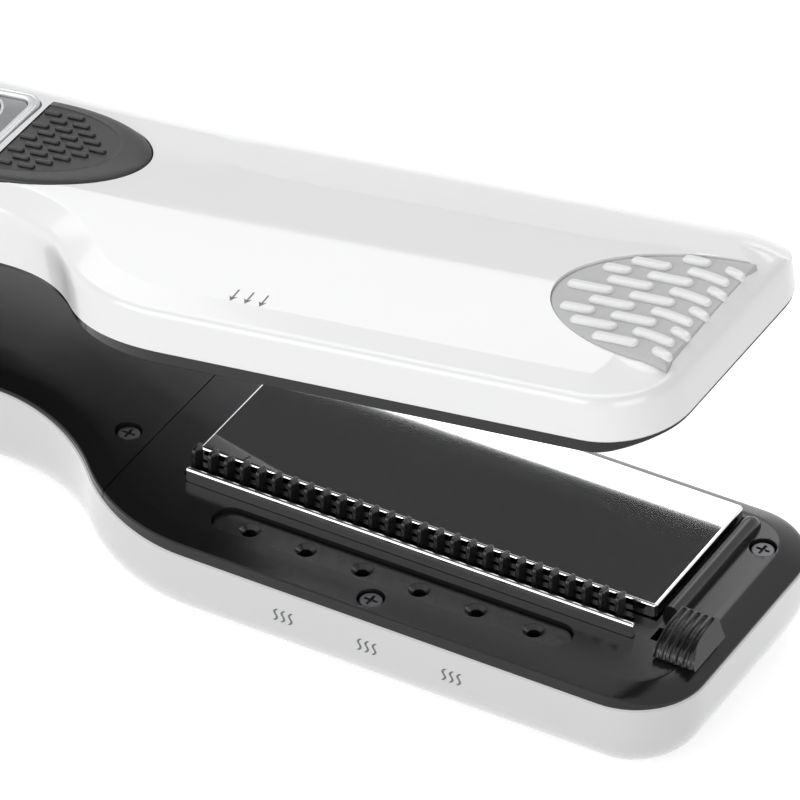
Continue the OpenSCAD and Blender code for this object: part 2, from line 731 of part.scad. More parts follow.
module tank_valve() {
    x0 = tank_l + slide;
    color(steel) lower() difference() {
        union() {
            rod_x(x0, x0 + valve_l - 3, port_y, port_z, 4);
            rod_x(x0 + valve_l - 3.1, x0 + valve_l + 3, port_y, port_z, hose_r);
            block(x0, x0 + 3, port_y - 4, port_y + 4, lower_floor + 0.05, port_z);
        }
        rod_x(x0 - 1, x0 + valve_l + 4, port_y, port_z, hose_r - 0.4);
    }
}
module water_tank() {
    tail_cap = tank_cut_x - slide;
    color(smoke) lower() difference() {
        union() {
            intersection() {
                outer_form(lower_z, lower_edge_r, 0);
                block(-tail_l - 1, tail_cap, -far_y, far_y, lower_z - 1, tank_z1);
            }
            block(tail_cap - 0.5, tank_l - 1.6, -tank_w / 2, tank_w / 2, tank_z0, tank_z1);
        }
        block(-tail_l + 4, tank_l - 3, -tank_w / 2 + tank_wall, tank_w / 2 - tank_wall, tank_z0 + tank_wall,
              tank_z1 - tank_wall);
        rod_x(tank_l - 4, tank_l, port_y, port_z, port_r);
        rod_x(-tail_l - 1, -tail_l + 5, 0, port_z, plug_r + run);
    }
}
module tank_plug() {
    color(rubber) lower() {
        rod_x(-tail_l + 0.6, -tail_l + 3.8, 0, port_z, plug_r);
        rod_x(-tail_l - 0.6, -tail_l + 0.7, 0, port_z, plug_r - 0.8);
    }
}
module tank_seal() {
    color(rubber) lower() difference() {
        rod_x(tank_l - 1.55, tank_l - 0.05, port_y, port_z, port_r + 1.2);
        rod_x(tank_l - 3, tank_l + 1, port_y, port_z, port_r);
    }
}
module lower_hinge_bracket() {
    color(black) lower() difference() {
        union() {
            block(-tail_l + tail_r - 4, cover_x0 - 2, -lug_y1, lug_y1, bracket_z0, bracket_z1);
            for (s = [-1, 1]) {
                y = s > 0 ? lug_y0 : -lug_y1;
                leg = s > 0 ? tank_w / 2 + 0.6 : -lug_y1;
                block(6, cover_x0 - 2, leg, leg + lug_y1 - tank_w / 2 - 0.6, lower_z + lower_edge_r - 3.3,
                      bracket_z0 + 0.1);
                rod_y(0, y, y + lug_w, 0, knuckle_r);
                block(-knuckle_r, knuckle_r, y, y + lug_w, bracket_z1 - 0.1, 0);
            }
        }
        rod_y(0, -far_y, far_y, 0, pin_r + run);
    }
}
module hinge_pin() {
    color(steel) lower() rod_y(0, -lug_y1, lug_y1, 0, pin_r);
}
wire_r = 0.5;
coil_r = pin_r + 0.9;
module hinge_spring() {
    turns = 5;
    y0 = knuckle_y1 + 0.9;
    color(steel) lower() {
        for (k = [0:turns - 1]) translate([0, y0 + k * (spring_room - 1) / turns, 0]) rotate([90, 0, 0])
            rotate_extrude() translate([coil_r, 0]) circle(r = wire_r, $fn = 16);
        translate([coil_r, y0 - wire_r, 0])
            cube([wire_r, (spring_room - 1) * (turns - 1) / turns + 2 * wire_r, wire_r]);
    }
}
module closing_switch() {
    color(black) lower() {
        block(switch_x - 3.5, switch_x + 3.5, -6, 6, switch_z0, switch_z1);
        for (y = [-6, 4])
            block(switch_x - 2.5, switch_x + 2.5, y, y + 2, switch_z1 - 0.1, deck_under(switch_x) - 0.05);
    }
}
module trigger_pin() {
    color(rubber) lower() {
        rod(switch_x, 0, trigger_foot, trigger_top - trigger_r / 2, trigger_r);
        translate([switch_x, 0, trigger_top - trigger_r / 2]) intersection() {
            sphere(r = trigger_r);
            translate([0, 0, -trigger_r / 2]) cylinder(h = trigger_r, r = trigger_r);
        }
    }
}
module lower_wiring() {
    z = lower_floor + 3;
    y = far_y - wall - 2.5;
    color([0.6, 0.1, 0.1]) lower() for (s = [0, 1])
        path_rod([[14, y - s * 1.4, tank_z1 + 1.6], [tank_l - 6, y - s * 1.4, tank_z1 + 1.6],
                  [tank_l + 12, y - s * 1.4, z], [seam_x, y - s * 1.4, z],
                  [plate_x0 + 4, plate_cy + heater_w / 2 - s * 1.4, flange_z0 - holder_h - 1.2]], 0.5, 8);
}
module lower_thermal_fuse() {
    color(steel) lower() rod_x(plate_x0 + 20, plate_x0 + 32, plate_cy, flange_z0 - holder_h - 1.35, 1.2);
}
module lower_screws() {
    color(steel) lower() {
        for (p = head_screws) screw(p, -frame_drop, rim_z - 4);
        for (p = lower_cover_screws) screw(p, face_at(p[0]), rim_z - 4);
    }
}

module swivel_hole() {
    rod_x(-tail_l - 1, 0, 0, swivel_z, swivel_r + run + swivel_wall + fit);
}
module upper_shell() {
    color(white) upper() {
        difference() {
            shell_form(upper_z, upper_edge_r, crown);
            rounded_block(panel_x0 - bezel_w - fit, panel_x1 + bezel_w + fit,
                          panel_y - panel_w / 2 - bezel_w - fit, panel_y + panel_w / 2 + bezel_w + fit,
                          upper_z - 4, upper_floor + 2, 4);
            dee(pad_x0 - fit, panel_y, pad_l + 2 * fit, pad_w + 2 * fit, 1, upper_z - 4, upper_floor + 2);
            dee(grip_x1 + fit, grip_y, grip_l + 2 * fit, grip_w + 2 * fit, -1, upper_z - 4, upper_floor + 2);
            swivel_hole();
        }
        for (p = head_screws)
            boss(p, p[1] < comb_y ? upper_z + upper_edge_r - 2 : upper_floor - 0.5, rim_z - fit);
        for (p = upper_cover_screws) boss(p, upper_floor - 0.5, boss_top(p));
    }
}
groove_h = 1.2;
module upper_head_frame() {
    color(black) upper() difference() {
        intersection() {
            deck_form();
            head_cut();
        }
        plate_opening();
        block(comb_x0 - 3, comb_x1 + 2, comb_y - comb_half_w - 1, comb_y + comb_half_w + 1,
              -frame_drop - groove_h, 0);
        screw_holes(head_screws, -frame_drop);
        boss_room();
    }
}
module upper_handle_cover() {
    color(black) upper() difference() {
        intersection() {
            deck_form();
            block(cover_x0, seam_x - seam_half, near_y - 1, far_y + 1, lower_z, 0);
        }
        for (p = upper_cover_screws) screw_holes([p], face_at(p[0]));
    }
}
module upper_plate() {
    color(mirror_grey) upper() plate_form();
}
module upper_heater() {
    color(steel) upper() heater_form(flange_z0 - 0.05);
}
upper_holder_z1 = flange_z0 - float_travel - 0.3;
module upper_plate_holder() {
    color(white) upper() difference() {
        block(plate_x0 - 2, plate_x1 + 2, plate_y0 + 0.3, far_y - upper_edge_r - fit, upper_floor + 0.05,
              upper_holder_z1);
        block(plate_cx - heater_l / 2 - 1, plate_cx + heater_l / 2 + 1, plate_cy - heater_w / 2 - 1,
              plate_cy + heater_w / 2 + 1, upper_floor + 1.2, 0);
        for (p = spring_spots) rod(p[0], p[1], upper_floor + 1, 0, spring_r + wire_r + 0.3);
    }
}
spring_r = 1.5;
spring_spots = [for (x = [plate_x0 + 7, plate_x1 - 7], y = [plate_y0 + 4.2, plate_y1 - 4.2]) [x, y]];
module plate_springs() {
    z0 = upper_floor + 1.05;
    turns = 4;
    pitch = (flange_z0 - 0.05 - z0 - 2 * wire_r) / turns;
    color(steel) upper() for (p = spring_spots) translate([p[0], p[1], z0 + wire_r]) {
        for (k = [0:turns]) translate([0, 0, k * pitch]) rotate_extrude()
            translate([spring_r, 0]) circle(r = wire_r, $fn = 16);
        translate([spring_r - wire_r / 2, -wire_r / 2, 0]) cube([wire_r, wire_r, turns * pitch]);
    }
}
module upper_hinge_bracket() {
    color(black) upper() difference() {
        union() {
            block(-4, cover_x0 - 2, -lug_y0 + slide, knuckle_y1, bracket_z0, bracket_z1);
            rod_y(0, -lug_y0 + slide, knuckle_y1, 0, knuckle_r);
            block(-knuckle_r + 1, knuckle_r, -lug_y0 + slide, knuckle_y1, bracket_z1 - 0.1, 0);
            block(3, cover_x0 - 2, -lug_y0 + slide, knuckle_y1, upper_floor + 0.05, bracket_z0 + 0.1);
        }
        rod_y(0, -far_y, far_y, 0, pin_r + run);
    }
}
module panel_bezel() {
    y0 = panel_y - panel_w / 2;
    y1 = panel_y + panel_w / 2;
    color(steel) upper() difference() {
        rounded_block(panel_x0 - bezel_w, panel_x1 + bezel_w, y0 - bezel_w, y1 + bezel_w, panel_top,
                      panel_top + bezel_t, 4);
        rounded_block(panel_x0 + fit / 2, panel_x1 - fit / 2, y0 + fit / 2, y1 - fit / 2, panel_top - 1,
                      panel_top + bezel_t + 1, 2.5);
    }
}
module control_panel() {
    y0 = panel_y - panel_w / 2 + fit;
    y1 = panel_y + panel_w / 2 - fit;
    color(black) upper() difference() {
        rounded_block(panel_x0 + fit, panel_x1 - fit, y0, y1, panel_top + 0.3, panel_under, 2.4);
        for (s = [-1, 1])
            rod(button_x, panel_y + s * button_dy, panel_top - 1, panel_top + 4, button_r + slide);
        rod(power_x, panel_y, panel_top - 1, panel_top + 4, power_r + slide);
    }
}
module display_module() {
    color([0.2, 0.3, 0.3]) upper()
        block(display_x0, display_x1, panel_y - panel_w / 2 + 3.2, panel_y + panel_w / 2 - 3.2,
              panel_under + 0.05, board_z0 - 0.05);
}
module circuit_board() {
    color([0.1, 0.35, 0.15]) upper() {
        block(panel_x0 - 1, panel_x1 + 1, panel_y - panel_w / 2, panel_y + panel_w / 2,
              board_z0, board_z0 + board_t);
        for (x = [panel_x0 + 2, panel_x1 - 2], s = [-1, 1])
            rod(x, panel_y + s * (panel_w / 2 - 2), panel_under + 0.05, board_z0 + 0.1, 1.2);
    }
}
button_spots = [[power_x, panel_y, power_r], [button_x, panel_y + button_dy, button_r],
                [button_x, panel_y - button_dy, button_r]];
module button_switches() {
    color(steel) upper() for (b = button_spots) {
        block(b[0] - 2.6, b[0] + 2.6, b[1] - 2.6, b[1] + 2.6, board_z0 - 1, board_z0 - 0.02);
    }
}
module button_form(b) {
    flange_z = panel_under + slide;
    rod(b[0], b[1], button_top, flange_z + 0.1, b[2]);
    rod(b[0], b[1], flange_z, flange_z + 0.8, b[2] + 0.8);
    rod(b[0], b[1], flange_z + 0.7, board_z0 - 1 - button_travel - slide, 1.6);
}
module power_button() {
    color(steel) upper() button_form(button_spots[0]);
}
module plus_button() {
    color(steel) upper() button_form(button_spots[1]);
}
module minus_button() {
    color(steel) upper() button_form(button_spots[2]);
}
module thumb_pad() {
    dash = [3.4, 0.9, 0.5];
    rim = 3;
    color(rubber) upper() {
        dee(pad_x0, panel_y, pad_l, pad_w, 1, pad_top, upper_floor);
        intersection() {
            dee(pad_x0 + 1, panel_y, pad_l - rim - 1, pad_w - 2 * rim, 1, pad_top - dash[2], pad_top + 0.2);
            union() for (j = [-4:4], i = [0:5])
                translate([pad_x0 + 1 + i * 4.8 + (j % 2 == 0 ? 0 : 2.4), panel_y + j * 2.1 - dash[1] / 2,
                           pad_top - dash[2]]) cube([dash[0], dash[1], dash[2] + 0.1]);
        }
    }
}
module tip_grip() {
    ridge = [8.5, 1.8, 0.7];
    pitch = ridge[0] + 2.9;
    row = 3.1;
    color(white) upper() {
        dee(grip_x1, grip_y, grip_l, grip_w, -1, grip_top + 0.3, upper_floor - 0.05);
        intersection() {
            dee(grip_x1, grip_y, grip_l - 1.5, grip_w - 3, -1, grip_top - ridge[2], grip_top + 0.5);
            union() for (j = [-4:4], i = [0:3])
                translate([grip_x0 + 1.6 + (i - (j % 2 == 0 ? 0 : 0.5)) * pitch, grip_y + j * row - ridge[1] / 2,
                           grip_top - ridge[2]]) cube([ridge[0], ridge[1], ridge[2] + 0.4]);
        }
    }
}
socket_l = 8;
module swivel_socket() {
    color(black) upper() difference() {
        rod_x(-tail_l, -tail_l + socket_l, 0, swivel_z, swivel_r + run + swivel_wall);
        rod_x(-tail_l - 1, -tail_l + socket_l + 1, 0, swivel_z, swivel_r + run);
    }
}
module cord_swivel() {
    x0 = -tail_l - slide;
    color(black) upper() difference() {
        union() {
            rod_x(x0 - 0.1, -tail_l + socket_l, 0, swivel_z, swivel_r);
            translate([x0 - swivel_nose, 0, swivel_z]) rotate([0, 90, 0])
                cylinder(h = swivel_nose, r1 = cord_r + 1.4, r2 = swivel_r + 0.9);
            rod_x(-tail_l + socket_l + slide, -tail_l + socket_l + slide + 1, 0, swivel_z, swivel_r + 0.5);
            rod_x(-tail_l + socket_l - 0.1, -tail_l + socket_l + slide + 0.1, 0, swivel_z, swivel_r - 0.2);
        }
        rod_x(x0 - swivel_nose - 1, -tail_l + socket_l + 3, 0, swivel_z, cord_r);
    }
}
module upper_wiring() {
    color([0.6, 0.1, 0.1]) upper() for (s = [0, 1])
        path_rod([[cover_x0 + 4, far_y - wall - 3 - s * 1.4, upper_floor + 3],
                  [panel_x0 - 4, far_y - wall - 3 - s * 1.4, upper_floor + 3],
                  [panel_x0 + 2, far_y - wall - 3 - s * 1.4, board_z0 + board_t + 1],
                  [seam_x, far_y - wall - 3 - s * 1.4, board_z0 + board_t + 1]], 0.5, 8);
}
module upper_thermal_fuse() {
    color(steel) upper() rod_x(seam_x - 20, seam_x - 8, plate_cy, deck_under(seam_x - 8) - 1.25, 1.2);
}
module upper_screws() {
    color(steel) upper() {
        for (p = head_screws) screw(p, -frame_drop, rim_z - 4);
        for (p = upper_cover_screws) screw(p, face_at(p[0]), rim_z - 4);
    }
}

lower_shell();
lower_head_frame();
lower_handle_cover();
lower_plate();
lower_heater();
lower_plate_holder();
chrome_rail();
plate_end_bar();
comb();
comb_slider();
comb_guide();
steam_strip();
steam_gasket();
steam_chamber();
micro_pump();
suction_hose();
delivery_hose();
tank_valve();
water_tank();
tank_plug();
tank_seal();
lower_hinge_bracket();
hinge_pin();
hinge_spring();
closing_switch();
trigger_pin();
lower_wiring();
lower_thermal_fuse();
lower_screws();
upper_shell();
upper_head_frame();
upper_handle_cover();
upper_plate();
upper_heater();
upper_plate_holder();
plate_springs();
upper_hinge_bracket();
panel_bezel();
control_panel();
display_module();
circuit_board();
button_switches();
power_button();
plus_button();
minus_button();
thumb_pad();
tip_grip();
swivel_socket();
cord_swivel();
upper_wiring();
upper_thermal_fuse();
upper_screws();
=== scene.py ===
from math import asin, copysign, cos, degrees, hypot, pi, radians, sin, sqrt

import bmesh
import bpy
from mathutils import Matrix, Vector


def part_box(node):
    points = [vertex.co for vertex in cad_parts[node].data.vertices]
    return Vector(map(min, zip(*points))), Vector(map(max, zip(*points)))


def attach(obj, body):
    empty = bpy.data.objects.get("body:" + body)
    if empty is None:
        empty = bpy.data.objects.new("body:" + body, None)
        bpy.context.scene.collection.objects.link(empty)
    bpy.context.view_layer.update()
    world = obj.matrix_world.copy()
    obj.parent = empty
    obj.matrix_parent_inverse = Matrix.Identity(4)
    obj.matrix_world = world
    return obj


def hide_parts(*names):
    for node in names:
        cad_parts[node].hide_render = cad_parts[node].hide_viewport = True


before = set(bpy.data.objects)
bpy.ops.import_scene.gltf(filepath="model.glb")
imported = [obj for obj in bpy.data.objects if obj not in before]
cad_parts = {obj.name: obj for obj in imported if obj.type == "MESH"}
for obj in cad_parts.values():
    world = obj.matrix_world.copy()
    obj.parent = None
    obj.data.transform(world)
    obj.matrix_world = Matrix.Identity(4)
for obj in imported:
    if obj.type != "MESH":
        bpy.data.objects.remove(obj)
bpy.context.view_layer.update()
MM = 0.001


def cad(node):
    """Lowest and highest corner of a CAD node, in millimetres."""
    low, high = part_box(node)
    return low / MM, high / MM


# ---- sizes
shell_low, shell_high = cad("lower_shell")
tank_low, tank_high = cad("water_tank")
plate_low, plate_high = cad("lower_plate")
rail_low, rail_high = cad("chrome_rail")
comb_low, comb_high = cad("comb")
bar_low, bar_high = cad("plate_end_bar")
knob_low, knob_high = cad("comb_slider")
pin_low, pin_high = cad("hinge_pin")

PIN_Z = (pin_low.z + pin_high.z) / 2
OPEN_ANGLE = radians(8.4)
ARM_L = shell_high.x
TAIL_L = -shell_low.x
FAR_Y = shell_high.y
NEAR_Y = shell_low.y
HANDLE_W = 2 * FAR_Y
HEAD_W = FAR_Y - NEAR_Y
TIP_R = 13
TAIL_R = 12
FLANGE = 1.2
FLANGE_T = 1.2
PLATE_X0 = plate_low.x + FLANGE
PLATE_X1 = plate_high.x - FLANGE
PLATE_Y0 = plate_low.y + FLANGE
PLATE_Y1 = plate_high.y - FLANGE
PLATE_CX = (PLATE_X0 + PLATE_X1) / 2
PLATE_Z = plate_high.z - PIN_Z
NECK_L = 48
NECK_X1 = PLATE_X0 + 8.7
NECK_X0 = NECK_X1 - NECK_L
NECK_STEP = HEAD_W - HANDLE_W
NECK_R = (NECK_L ** 2 + NECK_STEP ** 2) / (4 * NECK_STEP)
NECK_A = asin(NECK_L / 2 / NECK_R)
HEAD_CY = (FAR_Y + NEAR_Y) / 2
SEAM_X = PLATE_X0 - 9.5
SEAM_HALF = 0.12

RIM_Z = -5.6
RIM_RISE = 3.5
LOWER_Z = -PIN_Z
UPPER_Z = -15.6
CROWN = 0.6
LOWER_R = 9
UPPER_R = 7
WALL = 1.8
FRAME_DROP = 3
COVER_DROP = 1
BEVEL_W = 5
EDGE_H = 0.6
NEAR_LIFT = 1.7
LIP_H = 2
LIP_T = 1.2
FIT = 0.2
SLIDE = 0.35

SLOT_L = 68
SLOT_W = 6.6
SLOT_Y = rail_low.y - 5.2
STRIP_DROP = 0.8
OUTLET_N = 6
OUTLET_PITCH = 10.8
OUTLET_R = 1.1

TOOTH_N = 27
TOOTH_PITCH = 3.1
TOOTH_T = 0.9
COMB_X0 = PLATE_X0 + 1
COMB_Y = (comb_low.y + comb_high.y) / 2
COMB_HALF = (comb_high.y - comb_low.y) / 2
TOOTH_TOP = comb_high.z - PIN_Z
COMB_RAIL_Z = RIM_Z - SLIDE

KNOB_X1 = knob_high.x
KNOB_L = 8
KNOB_Y0 = knob_low.y
KNOB_Y1 = knob_high.y
POST_X0 = KNOB_X1 - 6.5
POST_X1 = KNOB_X1 - 2.5
KNOB_TRAVEL = 4
KNOB_TOP = 1.0
KNOB_END_RUN = 1.6
KNOB_FLAT = 3.8
KNOB_CUT = 12
KNOB_RIB_PITCH = 1.3
KNOB_RIB_DEPTH = 0.4

SCREW_R = 1.25
HEAD_R = 2.1
HEAD_H = 1.1
COUNTER_R = 2.4
SINK = 0.5
CROSS_HALF = 0.28
CROSS_REACH = 1.25
CROSS_DEPTH = 0.55
HEAD_SCREWS = [(PLATE_CX, NEAR_Y + WALL + SCREW_R + FIT + 0.05), (ARM_L - 7.4, PLATE_Y1 - 5.2)]
LOWER_COVER_SCREWS = [(SEAM_X - 4.5, -18), (94, 10)]
UPPER_COVER_SCREWS = [(SEAM_X - 4.5, -18), (66, 10)]

SWITCH_X = 22
TRIGGER_R = 1.6
COVER_X0 = 15
TANK_TOP = tank_high.z - PIN_Z
TANK_CUT_X = -2

PAD_X0 = NECK_X0 - 0.8
PAD_L = 26
PAD_W = 25
PANEL_Y = -3.2
BEZEL_W = 1.8
PANEL_X1 = PAD_X0 - BEZEL_W - 2
PANEL_L = 64.5
PANEL_X0 = PANEL_X1 - PANEL_L
PANEL_W = 23.5
PANEL_TOP = UPPER_Z - CROWN
BUTTON_R = 4.6
POWER_R = 5.6
BUTTON_X = PANEL_X1 - BUTTON_R - 4.4
BUTTON_DY = PANEL_W / 4
POWER_X = PANEL_X0 + POWER_R + 4
GRIP_X1 = ARM_L - 2.2
GRIP_L = 28.3
GRIP_W = 31
GRIP_Y = -12.9
GRIP_PITCH = 11.4
GRIP_BAR_L = 8.5
GRIP_ROW = 3.1
GRIP_BEND = 0.021
GRIP_BEND_X = ARM_L - 12
SWIVEL_Z = (UPPER_Z + RIM_Z + RIM_RISE) / 2 + 0.15
SWIVEL_R = 4.4
SWIVEL_HOLE_R = 5.85
CORD_R = 2.8

LOWER = Matrix.Translation((0, 0, PIN_Z * MM)) @ Matrix.Diagonal((MM, MM, MM, 1))
UPPER = (Matrix.Translation((0, 0, PIN_Z * MM)) @ Matrix.Rotation(-OPEN_ANGLE, 4, "Y")
         @ Matrix.Diagonal((MM, MM, -MM, 1)))


# ---- outlines
CORNER_N = 14
NECK_N = 18
HANDLE_N = 22
HEAD_N = 18
WALL_N = 9
DEE_N = 48
# Lines of the grid over a back, as shares of the way to its ridge and from there to the far edge
NEAR_SHARES = (0.3, 0.65, 0.93)
FAR_SHARES = (0.07, 0.4, 0.72, 0.8)
CROSS_N = len(NEAR_SHARES) + len(FAR_SHARES) + 2


def smooth(t):
    c = min(1.0, max(0.0, t))
    return c * c * (3 - 2 * c)


def mix(a, b, t):
    return a + (b - a) * t


def headness(x):
    return smooth((x - NECK_X0) / NECK_L)


def rim_at(x):
    return RIM_Z + RIM_RISE * (1 - headness(x))


def under_rim(drop):
    """Height of a ring that runs below the rim."""
    return lambda p: rim_at(p[0]) - drop


def face_at(x):
    return -FRAME_DROP + (FRAME_DROP - COVER_DROP) * (1 - headness(x))


def deck_under(x):
    return rim_at(x) - 0.8 * (1 - headness(x))


def near_share(p):
    """Share of the flattened slope, full along the comb side of the head."""
    if p[1] >= HEAD_CY:
        return 0
    return headness(p[0]) * (1 - smooth((p[0] - ARM_L + TIP_R) / TIP_R))


def arc(cx, cy, r, a0, a1, n):
    angles = [radians(a0 + (a1 - a0) * k / n) for k in range(n + 1)]
    return [(cx + r * cos(a), cy + r * sin(a)) for a in angles]


def line(a, b, n):
    return [(mix(a[0], b[0], k / (n + 1)), mix(a[1], b[1], k / (n + 1))) for k in range(1, n + 1)]


def near_edge(d):
    """Near edge from tail to tip at inset d."""
    neck = degrees(NECK_A)
    y = d - FAR_Y
    return (arc(TAIL_R - TAIL_L, TAIL_R - FAR_Y, TAIL_R - d, 180, 270, CORNER_N)
            + line((TAIL_R - TAIL_L, y), (NECK_X0, y), HANDLE_N)
            + arc(NECK_X0, -FAR_Y - NECK_R, NECK_R + d, 90, 90 - neck, NECK_N)
            + arc(NECK_X1, NEAR_Y + NECK_R, NECK_R - d, 270 - neck, 270, NECK_N)[1:]
            + line((NECK_X1, NEAR_Y + d), (ARM_L - TIP_R, NEAR_Y + d), HEAD_N)
            + arc(ARM_L - TIP_R, NEAR_Y + TIP_R, TIP_R - d, 270, 360, CORNER_N))


def far_edge(d):
    near = near_edge(d)
    middle = [(p[0], FAR_Y - d) for p in near[CORNER_N + 1:-CORNER_N - 1]]
    return (arc(TAIL_R - TAIL_L, FAR_Y - TAIL_R, TAIL_R - d, 180, 90, CORNER_N)
            + middle
            + arc(ARM_L - TIP_R, FAR_Y - TIP_R, TIP_R - d, 90, 0, CORNER_N))


def loop(d):
    """Closed outline at inset d: near side, tip, far side, tail."""
    near, far = near_edge(d), far_edge(d)
    return (near + line(near[-1], far[-1], CROSS_N - 1)
            + far[::-1] + line(far[0], near[0], CROSS_N - 1))


SIDE_N = len(near_edge(0))
EDGE = [Vector(p) for p in loop(0)]
INWARD = [(Vector(b) - Vector(a)).normalized() for a, b in zip(loop(0), loop(1))]


def ring(d, z):
    """Ring at inset d; its height is a number or a function of the place."""
    return [(p[0], p[1], z(p) if callable(z) else z) for p in loop(d)]


def free_ring(inset, z):
    """Ring whose inset and height are functions of the place on the outline."""
    made = []
    for k, (p, n) in enumerate(zip(EDGE, INWARD)):
        q = p + n * inset(k, p)
        made.append((q.x, q.y, z(k, p)))
    return made


def wall_rings(z, r, d):
    """Rings of a rounded wall from its flat back up to the rim."""
    made = []
    for k in range(WALL_N + 1):
        a = radians(90 - 90 * k / WALL_N)
        made.append(ring(d + r * (1 - cos(a)), z + r * (1 - sin(a))))
    return made


# ---- meshes
def placed(name, data):
    """New object in the scene."""
    obj = bpy.data.objects.new(name, data)
    bpy.context.scene.collection.objects.link(obj)
    return obj


def new_object(points, faces, arm):
    """Object with points that meet joined and every face turned outwards."""
    mesh = bpy.data.meshes.new("made")
    mesh.from_pydata(points, [], faces)
    mesh.transform(arm)
    bm = bmesh.new()
    bm.from_mesh(mesh)
    bmesh.ops.remove_doubles(bm, verts=bm.verts, dist=0.005 * MM)
    bmesh.ops.recalc_face_normals(bm, faces=bm.faces)
    bm.to_mesh(mesh)
    bm.free()
    return placed("made", mesh)


def grid_cap(rings, index, points, faces, back):
    """Closes a ring of loop() with a grid whose heights the function back gives."""
    n = len(rings[0])
    base = index * n
    edge = rings[index]
    far_start = SIDE_N + CROSS_N - 1
    shares = NEAR_SHARES + (1.0,) + FAR_SHARES
    rows = []
    for k in range(SIDE_N):
        near, far = edge[k], edge[far_start + SIDE_N - 1 - k]
        row = [base + k]
        for t in range(1, CROSS_N):
            if k == SIDE_N - 1:
                row.append(base + SIDE_N + t - 1)
            elif k == 0:
                row.append(base + n - t)
            else:
                ridge = min(max(ridge_y(near[0]), near[1]), far[1])
                share = shares[t - 1]
                if t <= len(NEAR_SHARES) + 1:
                    y = mix(near[1], ridge, share)
                else:
                    y = mix(ridge, far[1], share)
                x = mix(near[0], far[0], (y - near[1]) / max(1e-6, far[1] - near[1]))
                row.append(len(points))
                points.append((x, y, back(x, y)))
        row.append(base + far_start + SIDE_N - 1 - k)
        rows.append(row)
    for a, b in zip(rows, rows[1:]):
        for t in range(CROSS_N):
            faces.append([a[t], b[t], b[t + 1], a[t + 1]])


def ridge_y(x):
    """Line along the back where its near half starts to slope down."""
    return RIDGE_Y * smooth((x - RIDGE_X) / RIDGE_RUN)


def skin(rings, closed=False):
    """Points of rings and the faces between each ring and the next."""
    n, m = len(rings[0]), len(rings)
    points = [p for r in rings for p in r]
    faces = [[j * n + i, j * n + (i + 1) % n, (j + 1) % m * n + (i + 1) % n, (j + 1) % m * n + i]
             for j in range(m if closed else m - 1) for i in range(n)]
    return points, faces


def shell_solid(rings, first_back, last_back, arm):
    """Closed solid through rings of loop(), with a grid over the first and the last."""
    points, faces = skin(rings)
    grid_cap(rings, 0, points, faces, first_back)
    grid_cap(rings, len(rings) - 1, points, faces, last_back)
    return new_object(points, faces, arm)


def loft(rings, arm):
    """Closed solid through rings with one face at each end."""
    points, faces = skin(rings)
    n = len(rings[0])
    faces.append(list(range(n)))
    faces.append([(len(rings) - 1) * n + i for i in range(n)])
    return new_object(points, faces, arm)


def hoop(rings, arm):
    """Closed band through rings, the last joined to the first."""
    return new_object(*skin(rings, closed=True), arm)


def joined(objects):
    """One object from several."""
    bm = bmesh.new()
    for o in objects:
        bm.from_mesh(o.data)
        discard(o)
    mesh = bpy.data.meshes.new("made")
    bm.to_mesh(mesh)
    bm.free()
    return placed("made", mesh)


def discard(obj):
    mesh = obj.data
    bpy.data.objects.remove(obj)
    bpy.data.meshes.remove(mesh)


def apply_modifiers(obj):
    bpy.context.view_layer.update()
    changed = obj.evaluated_get(bpy.context.evaluated_depsgraph_get())
    mesh, old = bpy.data.meshes.new_from_object(changed), obj.data
    obj.modifiers.clear()
    obj.data = mesh
    bpy.data.meshes.remove(old)


def cut(obj, cutters, operation="DIFFERENCE"):
    for c in cutters:
        m = obj.modifiers.new("cut", "BOOLEAN")
        m.operation = operation
        m.solver = "EXACT"
        m.object = c
    apply_modifiers(obj)
    for c in cutters:
        discard(c)
    return obj


def finish_edges(obj, width=0.0, angle=35):
    """Rounds the sharp edges by width and shades the rest smooth."""
    if width:
        m = obj.modifiers.new("edges", "BEVEL")
        m.width = width * MM
        m.segments = 2
        m.limit_method = "ANGLE"
        m.angle_limit = radians(angle)
        m.use_clamp_overlap = True
        apply_modifiers(obj)
    obj.data.shade_smooth()
    obj.data.set_sharp_from_angle(angle=radians(angle))
    m = obj.modifiers.new("normals", "WEIGHTED_NORMAL")
    m.keep_sharp = True
    apply_modifiers(obj)


# Each outline below is a function of its inset
def rounded_rect(x0, x1, y0, y1, r, n=8):
    def at(d):
        q = max(0.01, r - d)
        made = []
        for cx, cy, a in ((x1 - d - q, y1 - d - q, 0), (x0 + d + q, y1 - d - q, 90),
                          (x0 + d + q, y0 + d + q, 180), (x1 - d - q, y0 + d + q, 270)):
            made += arc(cx, cy, q, a, a + 90, n)
        return made
    return at


def stadium(x0, x1, y, w):
    return rounded_rect(x0, x1, y - w / 2, y + w / 2, w / 2, 14)


def circle(x, y, r, n=48):
    return lambda d: arc(x, y, r - d, 0, 360 * (n - 1) / n, n - 1)


def dee(x_flat, y, length, width, way):
    """D outline: flat edge at x_flat, and a half ellipse towards way, 1 or -1."""
    def at(d):
        made = []
        for k in range(DEE_N + 1):
            a = radians(-90 + 180 * k / DEE_N)
            made.append((x_flat + way * (d + (length - 2 * d) * cos(a)),
                         y + (width / 2 - d) * sin(a)))
        return made
    return at


def level(outline, z):
    return [(x, y, z) for x, y in outline]


def prism(outline, z0, z1, arm, top_r=0.0, steps=4):
    """Prism from its base at z0 to its top at z1, either way up, with its top edge rounded."""
    way = 1 if z1 > z0 else -1
    rings = [level(outline(0.0), z0)]
    for k in range(steps + 1) if top_r else [0]:
        a = radians(90 * k / steps)
        inset, drop = top_r * (1 - cos(a)), top_r * (1 - sin(a))
        rings.append(level(outline(inset), z1 - way * drop))
    return loft(rings, arm)


